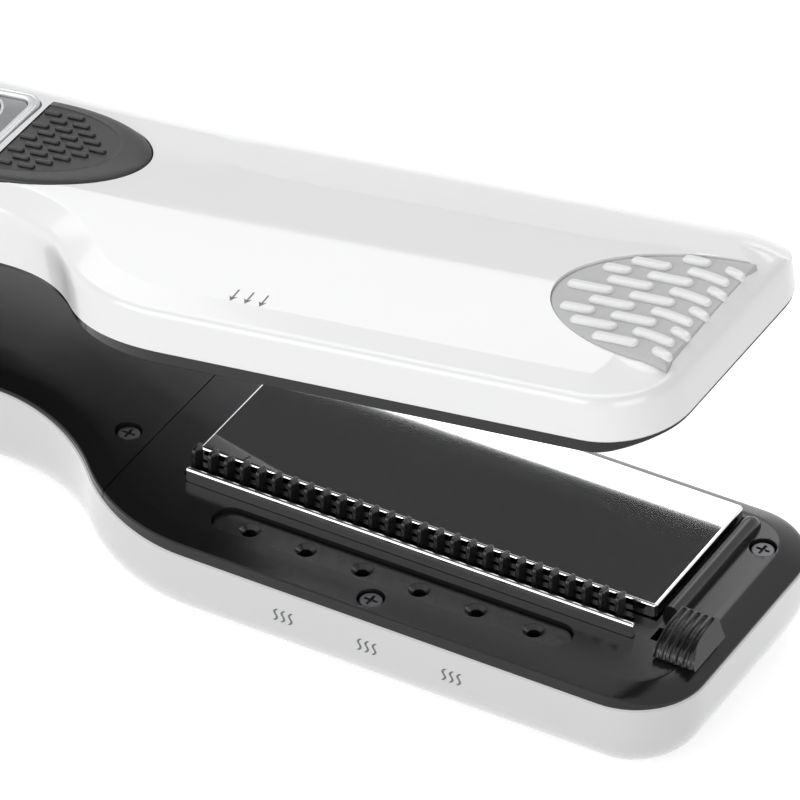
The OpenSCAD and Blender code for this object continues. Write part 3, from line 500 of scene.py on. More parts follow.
def block(x0, x1, y0, y1, z0, z1, arm, r=0.0):
    return prism(rounded_rect(x0, x1, y0, y1, r, 4), z0, z1, arm)


def rod_z(x, y, z0, z1, r, arm, n=48):
    return prism(circle(x, y, r, n), z0, z1, arm)


def turned(profile, y, z, n=48):
    """Rings round an axis along X, from (x, r) pairs."""
    turns = [2 * pi * k / n for k in range(n)]
    return [[(x, y + r * cos(a), z + r * sin(a)) for a in turns] for x, r in profile]


# ---- materials
def feed(tree, node, **inputs):
    """Gives inputs of a node, with _ for a space, a value or a link."""
    for key, value in inputs.items():
        socket = node.inputs[key.replace("_", " ")]
        if isinstance(value, bpy.types.NodeSocket):
            tree.links.new(value, socket)
        else:
            socket.default_value = value
    return node


def new_node(tree, kind, **inputs):
    return feed(tree, tree.nodes.new("ShaderNode" + kind), **inputs)


def node_material(name, color, roughness, metallic=0.0, mottle=0.03, mottle_mm=12,
                  rough_vary=0.05, grain=0.0, grain_mm=0.4, streak=(1, 1, 1), coat=0.0,
                  coat_rough=0.05, ior=1.5, transmission=0.0):
    """Procedural finish: mottled colour, roughness that varies, and a fine grain or brushing."""
    m = bpy.data.materials.new(name)
    m.use_nodes = True
    tree = m.node_tree
    place = new_node(tree, "TexCoord").outputs["Object"]
    stretch = new_node(tree, "Mapping", Vector=place, Scale=streak)

    def noise(size_mm, detail):
        return new_node(tree, "TexNoise", Vector=stretch.outputs["Vector"],
                        Scale=1 / (size_mm * MM), Detail=detail).outputs["Fac"]

    tint = new_node(tree, "Mix")
    tint.data_type = "RGBA"
    feed(tree, tint, A=[c * (1 - mottle) for c in color] + [1],
         B=[min(1, c * (1 + mottle)) for c in color] + [1], Factor=noise(mottle_mm, 3))
    spread = new_node(tree, "MapRange", Value=noise(mottle_mm / 4, 4),
                      To_Min=max(0.01, roughness - rough_vary), To_Max=roughness + rough_vary)
    shader = feed(tree, tree.nodes["Principled BSDF"], Metallic=metallic, IOR=ior,
                  Coat_Weight=coat, Coat_Roughness=coat_rough, Transmission_Weight=transmission,
                  Base_Color=tint.outputs["Result"], Roughness=spread.outputs["Result"])
    if grain:
        bump = new_node(tree, "Bump", Strength=grain, Distance=0.05 * MM, Height=noise(grain_mm, 2))
        feed(tree, shader, Normal=bump.outputs["Normal"])
    return m


FINISH = {
    "white_shell": node_material(
        "gloss_white_plastic", (0.84, 0.84, 0.845), 0.33, mottle=0.008, mottle_mm=30,
        rough_vary=0.03, coat=0.65, coat_rough=0.1),
    "black_frame": node_material(
        "satin_black_plastic", (0.012, 0.012, 0.0125), 0.2, mottle=0.08, rough_vary=0.03,
        grain=0.08, grain_mm=0.35, ior=1.4),
    "black_comb": node_material(
        "black_comb_plastic", (0.011, 0.011, 0.0115), 0.26, mottle=0.08, grain=0.1, grain_mm=0.3),
    "plate_metal": node_material(
        "mirror_plate", (0.86, 0.86, 0.87), 0.03, metallic=1.0, mottle=0.01, rough_vary=0.006,
        streak=(0.15, 1, 1)),
    "chrome_trim": node_material(
        "chrome", (0.82, 0.82, 0.83), 0.1, metallic=1.0, mottle=0.02, rough_vary=0.03,
        streak=(0.08, 1, 1)),
    "bezel_metal": node_material(
        "silver_bezel", (0.62, 0.63, 0.64), 0.3, metallic=0.55, mottle=0.02, grain=0.1,
        grain_mm=0.3),
    "panel_black": node_material(
        "grey_panel_lacquer", (0.30, 0.305, 0.31), 0.25, metallic=0.2, mottle=0.02, coat=1.0,
        coat_rough=0.04),
    "button_silver": node_material(
        "silver_button", (0.70, 0.70, 0.71), 0.28, metallic=0.8, mottle=0.02, grain=0.1,
        grain_mm=0.3),
    "pad_rubber": node_material(
        "pad_rubber", (0.011, 0.011, 0.011), 0.42, mottle=0.1, mottle_mm=3, grain=0.35,
        grain_mm=0.25),
    "grip_plastic": node_material(
        "grip_base_plastic", (0.50, 0.50, 0.505), 0.42, mottle=0.02, grain=0.3, grain_mm=0.3),
    "screw_steel": node_material(
        "dark_screw_steel", (0.11, 0.11, 0.115), 0.42, metallic=1.0, mottle=0.08, mottle_mm=1.5,
        grain=0.2, grain_mm=0.2),
    "inner_steel": node_material(
        "inner_steel", (0.55, 0.55, 0.57), 0.35, metallic=1.0, mottle=0.05, grain=0.2,
        grain_mm=0.3),
    "holder_plastic": node_material(
        "holder_plastic", (0.62, 0.60, 0.55), 0.5, mottle=0.04, grain=0.3, grain_mm=0.3),
    "hinge_black": node_material(
        "hinge_black_plastic", (0.024, 0.024, 0.025), 0.4, mottle=0.08, grain=0.25, grain_mm=0.35),
    "tank_plastic": node_material(
        "smoke_tank_plastic", (0.36, 0.38, 0.41), 0.14, mottle=0.03, mottle_mm=20,
        transmission=0.55, coat=0.5),
    "seal_rubber": node_material(
        "seal_rubber", (0.05, 0.05, 0.052), 0.55, mottle=0.1, mottle_mm=3, grain=0.4,
        grain_mm=0.25),
    "board_green": node_material(
        "board_green", (0.03, 0.14, 0.05), 0.4, mottle=0.15, mottle_mm=2, grain=0.2, grain_mm=0.5),
    "display_grey": node_material("display_grey", (0.10, 0.13, 0.13), 0.2, mottle=0.05, coat=1.0),
    "wire_red": node_material(
        "wire_red", (0.45, 0.05, 0.04), 0.42, mottle=0.05, grain=0.2, grain_mm=0.3),
}
# Darker copy of the white shell plastic for the lower shell: painted shade. It is the same plastic
# as the upper shell, with its colour lowered so that its side renders greyer.
LOWER_WHITE_PAINTED_SHADE = node_material(
    "gloss_white_plastic_painted_shade", (0.66, 0.66, 0.665), 0.22, mottle=0.008, mottle_mm=30,
    rough_vary=0.03, coat=1.0, coat_rough=0.09)
RIDGE_WHITE = node_material(
    "grip_ridge_plastic", (0.80, 0.80, 0.805), 0.35, mottle=0.01, coat=0.5, grain=0.15,
    grain_mm=0.3)
PRINT_GREY = node_material("print_grey", (0.16, 0.16, 0.165), 0.45, mottle=0.06, mottle_mm=1)
DISPLAY_GLASS = node_material(
    "display_glass", (0.02, 0.022, 0.024), 0.08, mottle=0.05, coat=1.0, coat_rough=0.02)


def dress(obj, name, body, slot, replaced=(), finish=None):
    """Gives a piece its name, its material (the finish, or the one for its slot) and its body, and
    hides the CAD nodes that it stands for.
    """
    obj.name = obj.data.name = name
    obj.data.materials.clear()
    obj.data.materials.append(finish or FINISH[slot])
    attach(obj, body)
    if replaced:
        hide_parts(*replaced)


def piece(obj, name, body, slot, replaced=(), finish=None, width=0.0, angle=35):
    finish_edges(obj, width, angle)
    dress(obj, name, body, slot, replaced, finish)


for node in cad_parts.values():
    for entry in node.material_slots:
        entry.material = FINISH[entry.material.name.split(".")[0]]


# ---- shells
def flat_back(z):
    return lambda x, y: z


def build_lower_shell():
    rings = (wall_rings(LOWER_Z, LOWER_R, 0)
             + [ring(0, lambda p: mix(LOWER_Z + LOWER_R, rim_at(p[0]), 0.5)),
                ring(0, under_rim(0.3)), ring(0.3, under_rim(0)),
                ring(WALL, under_rim(0))]
             + wall_rings(LOWER_Z + WALL, LOWER_R - WALL, WALL)[::-1])
    shell = shell_solid(rings, flat_back(LOWER_Z), flat_back(LOWER_Z + WALL), LOWER)
    tail = block(-TAIL_L - 1, TANK_CUT_X, -FAR_Y - 1, FAR_Y + 1, LOWER_Z - 1,
                 TANK_TOP + SLIDE, LOWER)
    cut(shell, [tail])
    # The lower shell takes the darker copy of the white plastic: painted shade.
    piece(shell, "lower_shell_skin", "lower_arm", "white_shell", ["lower_shell"], LOWER_WHITE_PAINTED_SHADE,
          width=0.25)


# Where the near half of the back turns down, and over what length it eases in
RIDGE_Y = -13.4
RIDGE_X = 105
RIDGE_RUN = 55
SLOPE_X = 120
SLOPE_RUN = 40
SHOULDER_TOP = -13.7
NEAR_BAND = 6.0
NEAR_HANDLE_BAND = 2.8
CORNER_BAND = 6.3
TIP_BAND = 2.6
HANDLE_BAND = 8.0
FAR_BAND = 15.0
FAR_CORNER_BAND = 11.0
NEAR_SLOPE = 0.072
STRIPE_Y = 1.0
STRIPE_SLOPE = 0.11
# Far side of the head: an arc that eases in along the arm
FALL_X = 100
FALL_RUN = 90
FALL_R = 19.2
FALL_Z = RIM_Z + 9
# Far corner of the tip: how much of the fall goes round it, and where it sets in
TIP_FALL = 0.78
TIP_LEAD = 3
TIP_EASE = 8
# Where the shoulder's width changes: before the neck, before the far corner and at the tip
BAND_LEAD = 20
CORNER_EASE = 20
CORNER_SHARE = 0.6
CORNER_Y = 1
CORNER_RUN = 5.6
INNER_THICK = 1.2
# Insets and heights of the round edge under the shoulder
SHOULDER_EDGE = ((1.0, SHOULDER_TOP), (0.6, -13.35), (0.25, -12.7), (0.05, -11.7), (0, -10.4))


def top_z(x, y):
    """Height of the back: near half sloping to the comb side, far half level, far stripe tilted."""
    head = smooth((x - SLOPE_X) / SLOPE_RUN)
    ridge = ridge_y(x)
    if y <= ridge:
        return PANEL_TOP + NEAR_SLOPE * head * (ridge - y)
    return PANEL_TOP + STRIPE_SLOPE * headness(x) * max(0.0, y - STRIPE_Y)


def arc_limit(y, cy, cz, r):
    """Outer height of a round far side at y: a circle of radius r about (cy, cz)."""
    return cz - sqrt(max(0.0, r * r - max(0.0, y - cy) ** 2))


def far_limit(x, y, thick=0.0):
    """Outermost height of the upper arm: tight rounding on the handle, a long fall on the head."""
    edge_r = UPPER_R + CROWN
    cx, cy = ARM_L - TIP_R, FAR_Y - TIP_R
    if x > cx and y > cy - TIP_LEAD:
        past = max(y - cy, 0)
        onset = smooth((y - cy + TIP_LEAD) / TIP_EASE)
        y += hypot(past, (x - cx) * TIP_FALL * onset) - past
    handle = arc_limit(y, FAR_Y - edge_r, PANEL_TOP + edge_r, edge_r - thick)
    head = arc_limit(y, FAR_Y - FAR_BAND, FALL_Z, FALL_R - thick)
    if y < FAR_Y - FAR_BAND:
        return handle
    return mix(handle, head, smooth((x - FALL_X) / FALL_RUN))


def below(rings, thick=0.0):
    """Rings with every point kept within the far limit."""
    return [[(x, y, max(z, far_limit(x, y, thick))) for x, y, z in r] for r in rings]


def band_width(k, p):
    """Width of the shoulder at point k of the outline."""
    tip_first = SIDE_N - CORNER_N - 1
    tip_last = SIDE_N + CROSS_N + CORNER_N - 1
    tail_last = SIDE_N * 2 + CROSS_N - 1
    if k <= tip_first:
        return mix(NEAR_HANDLE_BAND, NEAR_BAND, headness(p.x + BAND_LEAD))
    if k < SIDE_N:
        t = (k - tip_first) / CORNER_N
        return mix(NEAR_BAND, TIP_BAND, smooth(t)) + CORNER_BAND * sin(pi * t)
    if k < SIDE_N + CROSS_N - 1:
        return mix(TIP_BAND, FAR_CORNER_BAND, CORNER_SHARE * smooth((p.y - CORNER_Y) / CORNER_RUN))
    if k <= tip_last:
        t = smooth((k - SIDE_N - CROSS_N + 1) / CORNER_N)
        return mix(TIP_BAND, FAR_CORNER_BAND, CORNER_SHARE + (1 - CORNER_SHARE) * t)
    if k >= tail_last - CORNER_N:
        share = smooth((k - tail_last + CORNER_N) / (CORNER_N + CROSS_N))
        return mix(HANDLE_BAND, NEAR_HANDLE_BAND, share)
    ease = p.x - ARM_L + TIP_R + CORNER_EASE
    if ease > 0:
        return mix(FAR_BAND, FAR_CORNER_BAND, smooth(ease / CORNER_EASE))
    return mix(HANDLE_BAND, FAR_BAND, headness(p.x))


def crease_z(k, p):
    q = p + INWARD[k] * band_width(k, p)
    return top_z(q.x, q.y)


def upper_back(x, y):
    return max(top_z(x, y), far_limit(x, y))


def build_upper_shell():
    rings = [free_ring(band_width, crease_z)]
    for share in (0.95, 0.84, 0.7, 0.56, 0.42, 0.28, 0.14):
        rings.append(free_ring(lambda k, p, s=share: 1.0 + (band_width(k, p) - 1.0) * s,
                               lambda k, p, s=share: mix(SHOULDER_TOP, crease_z(k, p), s)))
    rings += [ring(d, z) for d, z in SHOULDER_EDGE]
    rings += [ring(0, under_rim(2)), ring(0, under_rim(0.3)), ring(0.3, under_rim(0)),
              ring(WALL, under_rim(0))]
    inner = wall_rings(UPPER_Z + WALL, UPPER_R - WALL, WALL)[::-1]
    rings = below(rings) + below(inner, INNER_THICK)
    shell = shell_solid(rings, upper_back, flat_back(UPPER_Z + WALL), UPPER)
    deep, out = UPPER_Z + WALL + 2, UPPER_Z - 4
    grow = BEZEL_W + FIT
    y = PANEL_W / 2 + grow
    cutters = [
        prism(rounded_rect(PANEL_X0 - grow, PANEL_X1 + grow, PANEL_Y - y, PANEL_Y + y, 4), deep,
              out, UPPER),
        prism(dee(PAD_X0 - FIT, PANEL_Y, PAD_L + 2 * FIT, PAD_W + 2 * FIT, 1), deep, out, UPPER),
        prism(dee(GRIP_X1 + 0.05, GRIP_Y, GRIP_L + 0.1, GRIP_W + 0.1, -1), deep, out, UPPER),
        loft(turned([(-TAIL_L - 2, SWIVEL_HOLE_R), (0, SWIVEL_HOLE_R)], 0, SWIVEL_Z), UPPER)]
    cut(shell, cutters)
    piece(shell, "upper_shell_skin", "upper_arm", "white_shell", ["upper_shell"], width=0.2,
          angle=40)


# ---- black decks
def deck_rings():
    lip_d = WALL + FIT
    in_d = lip_d + LIP_T

    def edge(p):
        return rim_at(p[0]) + EDGE_H + NEAR_LIFT * near_share(p)

    def slope(share):
        return lambda p: mix(edge(p), face_at(p[0]), share)

    return [ring(in_d, lambda p: deck_under(p[0])), ring(in_d, under_rim(LIP_H)),
            ring(lip_d, under_rim(LIP_H)), ring(lip_d, under_rim(0)),
            ring(0.25, under_rim(0)), ring(0.25, lambda p: edge(p) - 0.25),
            ring(0.5, lambda p: edge(p)), ring(BEVEL_W * 0.3, slope(0.27)),
            ring(BEVEL_W * 0.6, slope(0.6)), ring(BEVEL_W * 0.88, slope(0.9)),
            ring(BEVEL_W, slope(0.985)), ring(BEVEL_W + 0.9, slope(1))]


def deck(x0, x1, arm):
    """Black deck between two stations along the arm."""
    made = shell_solid(deck_rings(), lambda x, y: deck_under(x), lambda x, y: face_at(x), arm)
    keep = block(x0, x1, NEAR_Y - 1, FAR_Y + 1, LOWER_Z, 1, arm)
    return cut(made, [keep], "INTERSECT")


def screw_cutters(spots, face, arm):
    made = []
    for x, y in spots:
        z = face(x)
        made.append(rod_z(x, y, LOWER_Z, 1, SCREW_R + FIT, arm))
        made.append(rod_z(x, y, z - SINK - HEAD_H, 1, COUNTER_R, arm))
    return made


def head_face(x):
    return -FRAME_DROP


def plate_cutter(arm):
    return block(PLATE_X0 - SLIDE, PLATE_X1 + SLIDE, PLATE_Y0 - SLIDE, PLATE_Y1 + SLIDE,
                 LOWER_Z, 1, arm)


def build_lower_frame():
    made = deck(SEAM_X + SEAM_HALF, ARM_L + 1, LOWER)
    half = COMB_HALF + SLIDE
    cutters = [
        plate_cutter(LOWER),
        block(comb_low.x - SLIDE, comb_high.x + SLIDE, COMB_Y - half, COMB_Y + half, LOWER_Z,
              1, LOWER),
        block(POST_X0 - KNOB_TRAVEL - SLIDE, POST_X1 + SLIDE, COMB_Y - half, COMB_Y + half,
              LOWER_Z, 1, LOWER),
        block(rail_low.x - FIT / 2, rail_high.x + FIT / 2, rail_low.y - FIT / 2,
              rail_high.y + FIT / 2, rail_low.z - PIN_Z - FIT / 2, 1, LOWER),
        prism(stadium(PLATE_CX - SLOT_L / 2, PLATE_CX + SLOT_L / 2, SLOT_Y, SLOT_W), LOWER_Z,
              1, LOWER)]
    cut(made, cutters + screw_cutters(HEAD_SCREWS, head_face, LOWER))
    dress_deck(made, "lower", "head_frame")


def build_upper_frame():
    made = deck(SEAM_X + SEAM_HALF, ARM_L + 1, UPPER)
    groove = block(comb_low.x - 2, comb_high.x + 2, COMB_Y - COMB_HALF - 1,
                   COMB_Y + COMB_HALF + 1, -FRAME_DROP - 1.2, 1, UPPER)
    cut(made, [plate_cutter(UPPER), groove] + screw_cutters(HEAD_SCREWS, head_face, UPPER))
    dress_deck(made, "upper", "head_frame")


def dress_deck(obj, side, part):
    node = side + "_" + part
    piece(obj, node + "_skin", side + "_arm", "black_frame", [node], width=0.22, angle=32)


def build_covers():
    trigger = rod_z(SWITCH_X, 0, LOWER_Z, 1, TRIGGER_R + SLIDE, LOWER)
    for side, arm, spots, holes in (("lower", LOWER, LOWER_COVER_SCREWS, [trigger]),
                                    ("upper", UPPER, UPPER_COVER_SCREWS, [])):
        made = deck(COVER_X0, SEAM_X - SEAM_HALF, arm)
        cut(made, holes + screw_cutters(spots, face_at, arm))
        dress_deck(made, side, "handle_cover")


# ---- plates, rail and comb
def plate_outline(grow, r):
    return rounded_rect(PLATE_X0 - grow, PLATE_X1 + grow, PLATE_Y0 - grow, PLATE_Y1 + grow, r)


def heating_plate(name, arm, body, node):
    under = RIM_Z - SLIDE
    top = prism(plate_outline(0, 0.8), under - FLANGE_T, PLATE_Z, arm, top_r=0.45)
    flange = prism(plate_outline(FLANGE, 1), under - FLANGE_T, under, arm)
    cut(top, [flange], "UNION")
    piece(top, name, body, "plate_metal", [node], width=0.08)


def build_chrome_rail():
    z0, z1 = rail_low.z - PIN_Z, rail_high.z - PIN_Z
    y = (rail_low.y + rail_high.y) / 2
    half = (rail_high.y - rail_low.y) / 2
    rings = []
    for x, shrink in ((rail_low.x, 0.35), (rail_low.x + 0.35, 0), (rail_high.x - 0.35, 0),
                      (rail_high.x, 0.35)):
        mid = z1 - half - shrink * 0.5
        top = [(x, y + (half - shrink * 0.4) * cos(radians(a)), mid + half * sin(radians(a)))
               for a in range(0, 181, 15)]
        rings.append([(x, y + half - shrink * 0.4, z0)] + top + [(x, y - half + shrink * 0.4, z0)])
    piece(loft(rings, LOWER), "chrome_rail_bar", "lower_arm", "chrome_trim", ["chrome_rail"],
          angle=50)


def build_end_bar():
    x = (bar_low.x + bar_high.x) / 2
    r = (bar_high.x - bar_low.x) / 2
    z0, z1 = bar_low.z - PIN_Z, bar_high.z - PIN_Z
    rings = []
    for y, shrink in ((bar_low.y, 0), (bar_high.y - 2.6, 0), (bar_high.y - 1.2, 0.12),
                      (bar_high.y - 0.4, 0.35), (bar_high.y, 0.7)):
        q = r * (1 - shrink * 0.35)
        h = (z1 - z0) * (1 - shrink)
        rings.append([(x + q * cos(radians(a)), y, z0 + h * sin(radians(a)) ** 0.8)
                      for a in range(0, 181, 12)])
    piece(loft(rings, LOWER), "plate_end_bar_skin", "lower_arm", "black_comb", ["plate_end_bar"],
          angle=50)


def tooth(x):
    """Comb fin: broad at the foot, thinner and round at its top."""
    rings = []
    z0 = COMB_RAIL_Z - 0.2
    r = COMB_HALF
    for t, z in ((0, z0), (0, -1.0), (0.06, 0.4), (0.16, TOOTH_TOP - 0.9), (0.3, TOOTH_TOP - 0.35),
                 (0.7, TOOTH_TOP - 0.06), (1.0, TOOTH_TOP)):
        half_t = TOOTH_T / 2 * (1 - 0.55 * t)
        half_w = r * (1 - 0.12 * t - 0.35 * max(0, t - 0.3))
        mid = x + TOOTH_T / 2
        outline = rounded_rect(mid - half_t, mid + half_t, COMB_Y - half_w, COMB_Y + half_w,
                               half_t * 0.8, 3)
        rings.append(level(outline(0), z))
    return loft(rings, LOWER)


def build_comb():
    rail = prism(rounded_rect(comb_low.x, comb_high.x, COMB_Y - COMB_HALF, COMB_Y + COMB_HALF,
                              0.5), COMB_RAIL_Z - 1.05, COMB_RAIL_Z, LOWER, top_r=0.25)
    teeth = [tooth(COMB_X0 + k * TOOTH_PITCH) for k in range(TOOTH_N)]
    piece(joined([rail] + teeth), "comb_fins", "comb", "black_comb", ["comb"], angle=40)


def build_knob():
    """Sliding knob: ribs across its top and near side, and a smooth sloping end."""
    z0 = -FRAME_DROP + SLIDE
    top = KNOB_TOP
    x0 = KNOB_X1 - KNOB_L
    rib_end = KNOB_X1 - KNOB_END_RUN * 0.25
    steps = 72
    rings = []
    for k in range(steps + 1):
        x = x0 + KNOB_L * k / steps
        wave = 0.5 - 0.5 * cos(2 * pi * (x - x0) / KNOB_RIB_PITCH)
        sink = KNOB_RIB_DEPTH * smooth(wave * 1.6 - 0.3) if x < rib_end else 0
        outline = [(KNOB_Y0 + sink * 0.6, z0), (KNOB_Y1, z0), (KNOB_Y1, top - 0.5),
                   (KNOB_Y1 - 0.15, top - 0.15), (KNOB_Y1 - 0.5, top),
                   (KNOB_Y1 - 0.9, top - sink * 0.6)]
        width = KNOB_Y1 - KNOB_Y0 - KNOB_FLAT
        for a in range(90, 181, 9):
            c, s = cos(radians(a)), sin(radians(a))
            outline.append((KNOB_Y1 - KNOB_FLAT + (width - sink) * c,
                            z0 + 0.3 + (top - z0 - 0.3 - sink) * s))
        rings.append([(x, y, z) for y, z in outline])
    knob = loft(rings, LOWER)
    wedge = [(KNOB_X1 - KNOB_END_RUN, top + 0.05), (KNOB_X1 + 3, top + 0.05),
             (KNOB_X1 + 3, z0 - 0.3), (KNOB_X1, z0 - 0.3)]
    slope = loft([[(x, y, z) for x, z in wedge] for y in (COMB_Y - KNOB_CUT, COMB_Y + KNOB_CUT)],
                 LOWER)
    cut(knob, [slope])
    post = block(POST_X0, POST_X1, COMB_Y - COMB_HALF, COMB_Y + COMB_HALF,
                 knob_low.z - PIN_Z + 0.1, z0 + 0.2, LOWER)
    finish_edges(knob, 0.18, angle=38)
    piece(joined([knob, post]), "comb_knob_grip", "comb_knob", "black_comb", angle=38)


def build_comb_slider():
    """Wedged tongue under the comb, on the knob's post."""
    z0 = knob_low.z - PIN_Z
    t = 1.2
    foot = 1.2
    run = KNOB_TRAVEL + foot
    rise = run * 0.75
    y0, y1 = COMB_Y - COMB_HALF, COMB_Y + COMB_HALF
    tongue = block(COMB_X0 + 4, POST_X1, y0, y1, z0, z0 + t, LOWER, 0.3)
    pitch = (comb_high.x - COMB_X0) / 3
    parts = [tongue]
    for k in range(3):
        x = COMB_X0 + (k + 0.5) * pitch
        base = z0 + t
        profile = [(x, base - 0.2), (x + run, base - 0.2), (x + run, base), (x, base + rise)]
        parts.append(loft([[(px, y, pz) for px, pz in profile] for y in (y0, y1)], LOWER))
    piece(joined(parts), "comb_slider_tongue", "comb_knob", "black_comb", ["comb_slider"],
          width=0.1)


def build_steam_strip():
    z0 = RIM_Z - FIT - 1.1
    z1 = -FRAME_DROP - STRIP_DROP
    x0, x1 = PLATE_CX - SLOT_L / 2, PLATE_CX + SLOT_L / 2
    bar = prism(stadium(x0 + FIT, x1 - FIT, SLOT_Y, SLOT_W - 2 * FIT), z0, z1, LOWER, top_r=0.3)
    flange = prism(stadium(x0 - 0.6, x1 + 0.6, SLOT_Y, SLOT_W + 1.2), z0, z0 + 1.1, LOWER)
    cut(bar, [flange], "UNION")
    cutters = []
    for k in range(OUTLET_N):
        x = PLATE_CX + (k - (OUTLET_N - 1) / 2) * OUTLET_PITCH
        rings = [level(circle(x, SLOT_Y, r)(0), z)
                 for z, r in ((z0 - 1, OUTLET_R), (z1 - 0.75, OUTLET_R), (z1 - 0.1, OUTLET_R + 0.8),
                              (z1 + 1, OUTLET_R + 0.9))]
        cutters.append(loft(rings, LOWER))
    cut(bar, cutters)
    piece(bar, "steam_strip_skin", "lower_arm", "black_comb", ["steam_strip"], width=0.08)


# ---- screws
def screw(x, y, face, arm):
    top = face - SINK
    head = prism(circle(x, y, HEAD_R), top - HEAD_H, top, arm, top_r=0.35)
    cut(head, [block(x - a, x + a, y - b, y + b, top - CROSS_DEPTH, top + 1, arm)
               for a, b in ((CROSS_HALF, CROSS_REACH), (CROSS_REACH, CROSS_HALF))])
    shank = rod_z(x, y, RIM_Z - 4, top - HEAD_H + 0.05, SCREW_R, arm, 24)
    return [head, shank]


def build_screws():
    for name, spots, arm, body in (("lower_screws", LOWER_COVER_SCREWS, LOWER, "lower_arm"),
                                   ("upper_screws", UPPER_COVER_SCREWS, UPPER, "upper_arm")):
        parts = []
        for x, y in HEAD_SCREWS:
            parts += screw(x, y, -FRAME_DROP, arm)
        for x, y in spots:
            parts += screw(x, y, face_at(x), arm)
        piece(joined(parts), name + "_detail", body, "screw_steel", [name], width=0.05, angle=40)


# ---- tank
TANK_GAP = 4.8
TANK_WALL = 1.4
FILLER_R = 3.05
PORT_R = 2
PORT_INSET = 6


def build_tank():
    tank_half = FAR_Y - WALL - TANK_GAP
    z0 = LOWER_Z + WALL + 0.9
    cap_x = TANK_CUT_X - SLIDE
    rings = wall_rings(LOWER_Z, LOWER_R, 0) + [ring(0, rim_at(0) - 1)]
    made = shell_solid(rings, flat_back(LOWER_Z), flat_back(rim_at(0) - 1), LOWER)
    keep = block(-TAIL_L - 1, cap_x, -FAR_Y - 1, FAR_Y + 1, LOWER_Z - 1, TANK_TOP, LOWER)
    cut(made, [keep], "INTERSECT")
    profile = rounded_rect(-tank_half, tank_half, z0, TANK_TOP, 1.6, 5)(0)
    body = loft([[(x, y, z) for y, z in profile] for x in (cap_x - 0.5, tank_high.x)], LOWER)
    cut(made, [body], "UNION")
    hollow = rounded_rect(-tank_half + TANK_WALL, tank_half - TANK_WALL, z0 + TANK_WALL,
                          TANK_TOP - TANK_WALL, 1, 5)(0)
    end = tank_high.x
    port_z = (z0 + TANK_TOP) / 2
    cutters = [
        loft([[(x, y, z) for y, z in hollow] for x in (-TAIL_L + 4, end - TANK_WALL)], LOWER),
        loft(turned([(end - 3, PORT_R), (end + 1, PORT_R)], tank_half - PORT_INSET, port_z), LOWER),
        loft(turned([(-TAIL_L - 1, FILLER_R), (-TAIL_L + 5, FILLER_R)], 0, port_z), LOWER)]
    cut(made, cutters)
    piece(made, "water_tank_body", "tank", "tank_plastic", ["water_tank"], width=0.3, angle=40)


# ---- upper arm trim
def between(outer, inner, share):
    return [(mix(a[0], b[0], share), mix(a[1], b[1], share)) for a, b in zip(outer, inner)]


def inside_dee(x, y, x_flat, cy, length, width, way):
    u = way * (x - x_flat)
    return 0 <= u <= length and (u / length) ** 2 + (2 * (y - cy) / width) ** 2 <= 1


PAD_RISE = 0.9
PAD_FIELD_L = 19.5
PAD_FIELD_W = 20.0
DASH_L = 3.3
DASH_PITCH = 4.6
DASH_ROW = 2.0


def build_thumb_pad():
    """Rubber pad: broad sloping border round a field of staggered dashes."""
    top = PANEL_TOP - PAD_RISE + 0.1
    outer = dee(PAD_X0, PANEL_Y, PAD_L, PAD_W, 1)(0)
    inner = dee(PAD_X0 + 0.5, PANEL_Y, PAD_FIELD_L, PAD_FIELD_W, 1)(0)
    rings = [level(between(outer, inner, s), z)
             for s, z in ((0, UPPER_Z + WALL), (0, UPPER_Z - 0.15), (0.03, UPPER_Z - 0.55),
                          (0.1, UPPER_Z - 0.8), (0.3, UPPER_Z - 1.12), (0.6, top + 0.12),
                          (0.86, top + 0.01), (0.93, top - 0.12), (1.0, top + 0.05),
                          (1.06, top + 0.12))]
    base = loft(rings, UPPER)
    dashes = []
    for j in range(-5, 6):
        for i in range(6):
            x = PAD_X0 + 0.9 + (i + 0.5 * (j % 2)) * DASH_PITCH
            y = PANEL_Y + j * DASH_ROW
            ends = (x, x + DASH_L)
            if not all(inside_dee(e, y, PAD_X0 + 0.5, PANEL_Y, PAD_FIELD_L - 0.7,
                                  PAD_FIELD_W - 1.8, 1) for e in ends):
                continue
            dashes.append(prism(rounded_rect(*ends, y - 0.5, y + 0.5, 0.4, 3), top + 0.3,
                                top - 0.42, UPPER, top_r=0.3, steps=2))
    piece(joined([base] + dashes), "thumb_pad_rubber", "upper_arm", "pad_rubber", ["thumb_pad"],
          angle=50)


def build_tip_grip():
    """Grip patch: satin base with white bars whose rows bend to the comb side at the tip."""
    top = PANEL_TOP + 0.45
    outline = dee(GRIP_X1, GRIP_Y, GRIP_L, GRIP_W, -1)
    base = prism(outline, UPPER_Z + WALL, top, UPPER, top_r=0.35)
    piece(base, "tip_grip_base", "upper_arm", "grip_plastic", ["tip_grip"], angle=50)
    ridges = []
    for j in range(-5, 6):
        for i in range(4):
            x0 = GRIP_X1 - GRIP_L + 1.6 + (i - 0.5 * (j % 2)) * GRIP_PITCH
            spots = []
            for k in range(9):
                x = x0 + GRIP_BAR_L * k / 8
                y = GRIP_Y + 0.5 + j * GRIP_ROW - GRIP_BEND * max(0.0, x - GRIP_BEND_X) ** 2
                if inside_dee(x, y, GRIP_X1 + 0.4, GRIP_Y, GRIP_L - 0.3, GRIP_W - 1.8, -1):
                    spots.append((x, y))
            if len(spots) > 4:
                ridges.append(ridge(spots, 1.0, top, top - 0.7))
    piece(joined(ridges), "tip_grip_ridges", "upper_arm", "grip_plastic", finish=RIDGE_WHITE,
          angle=60)


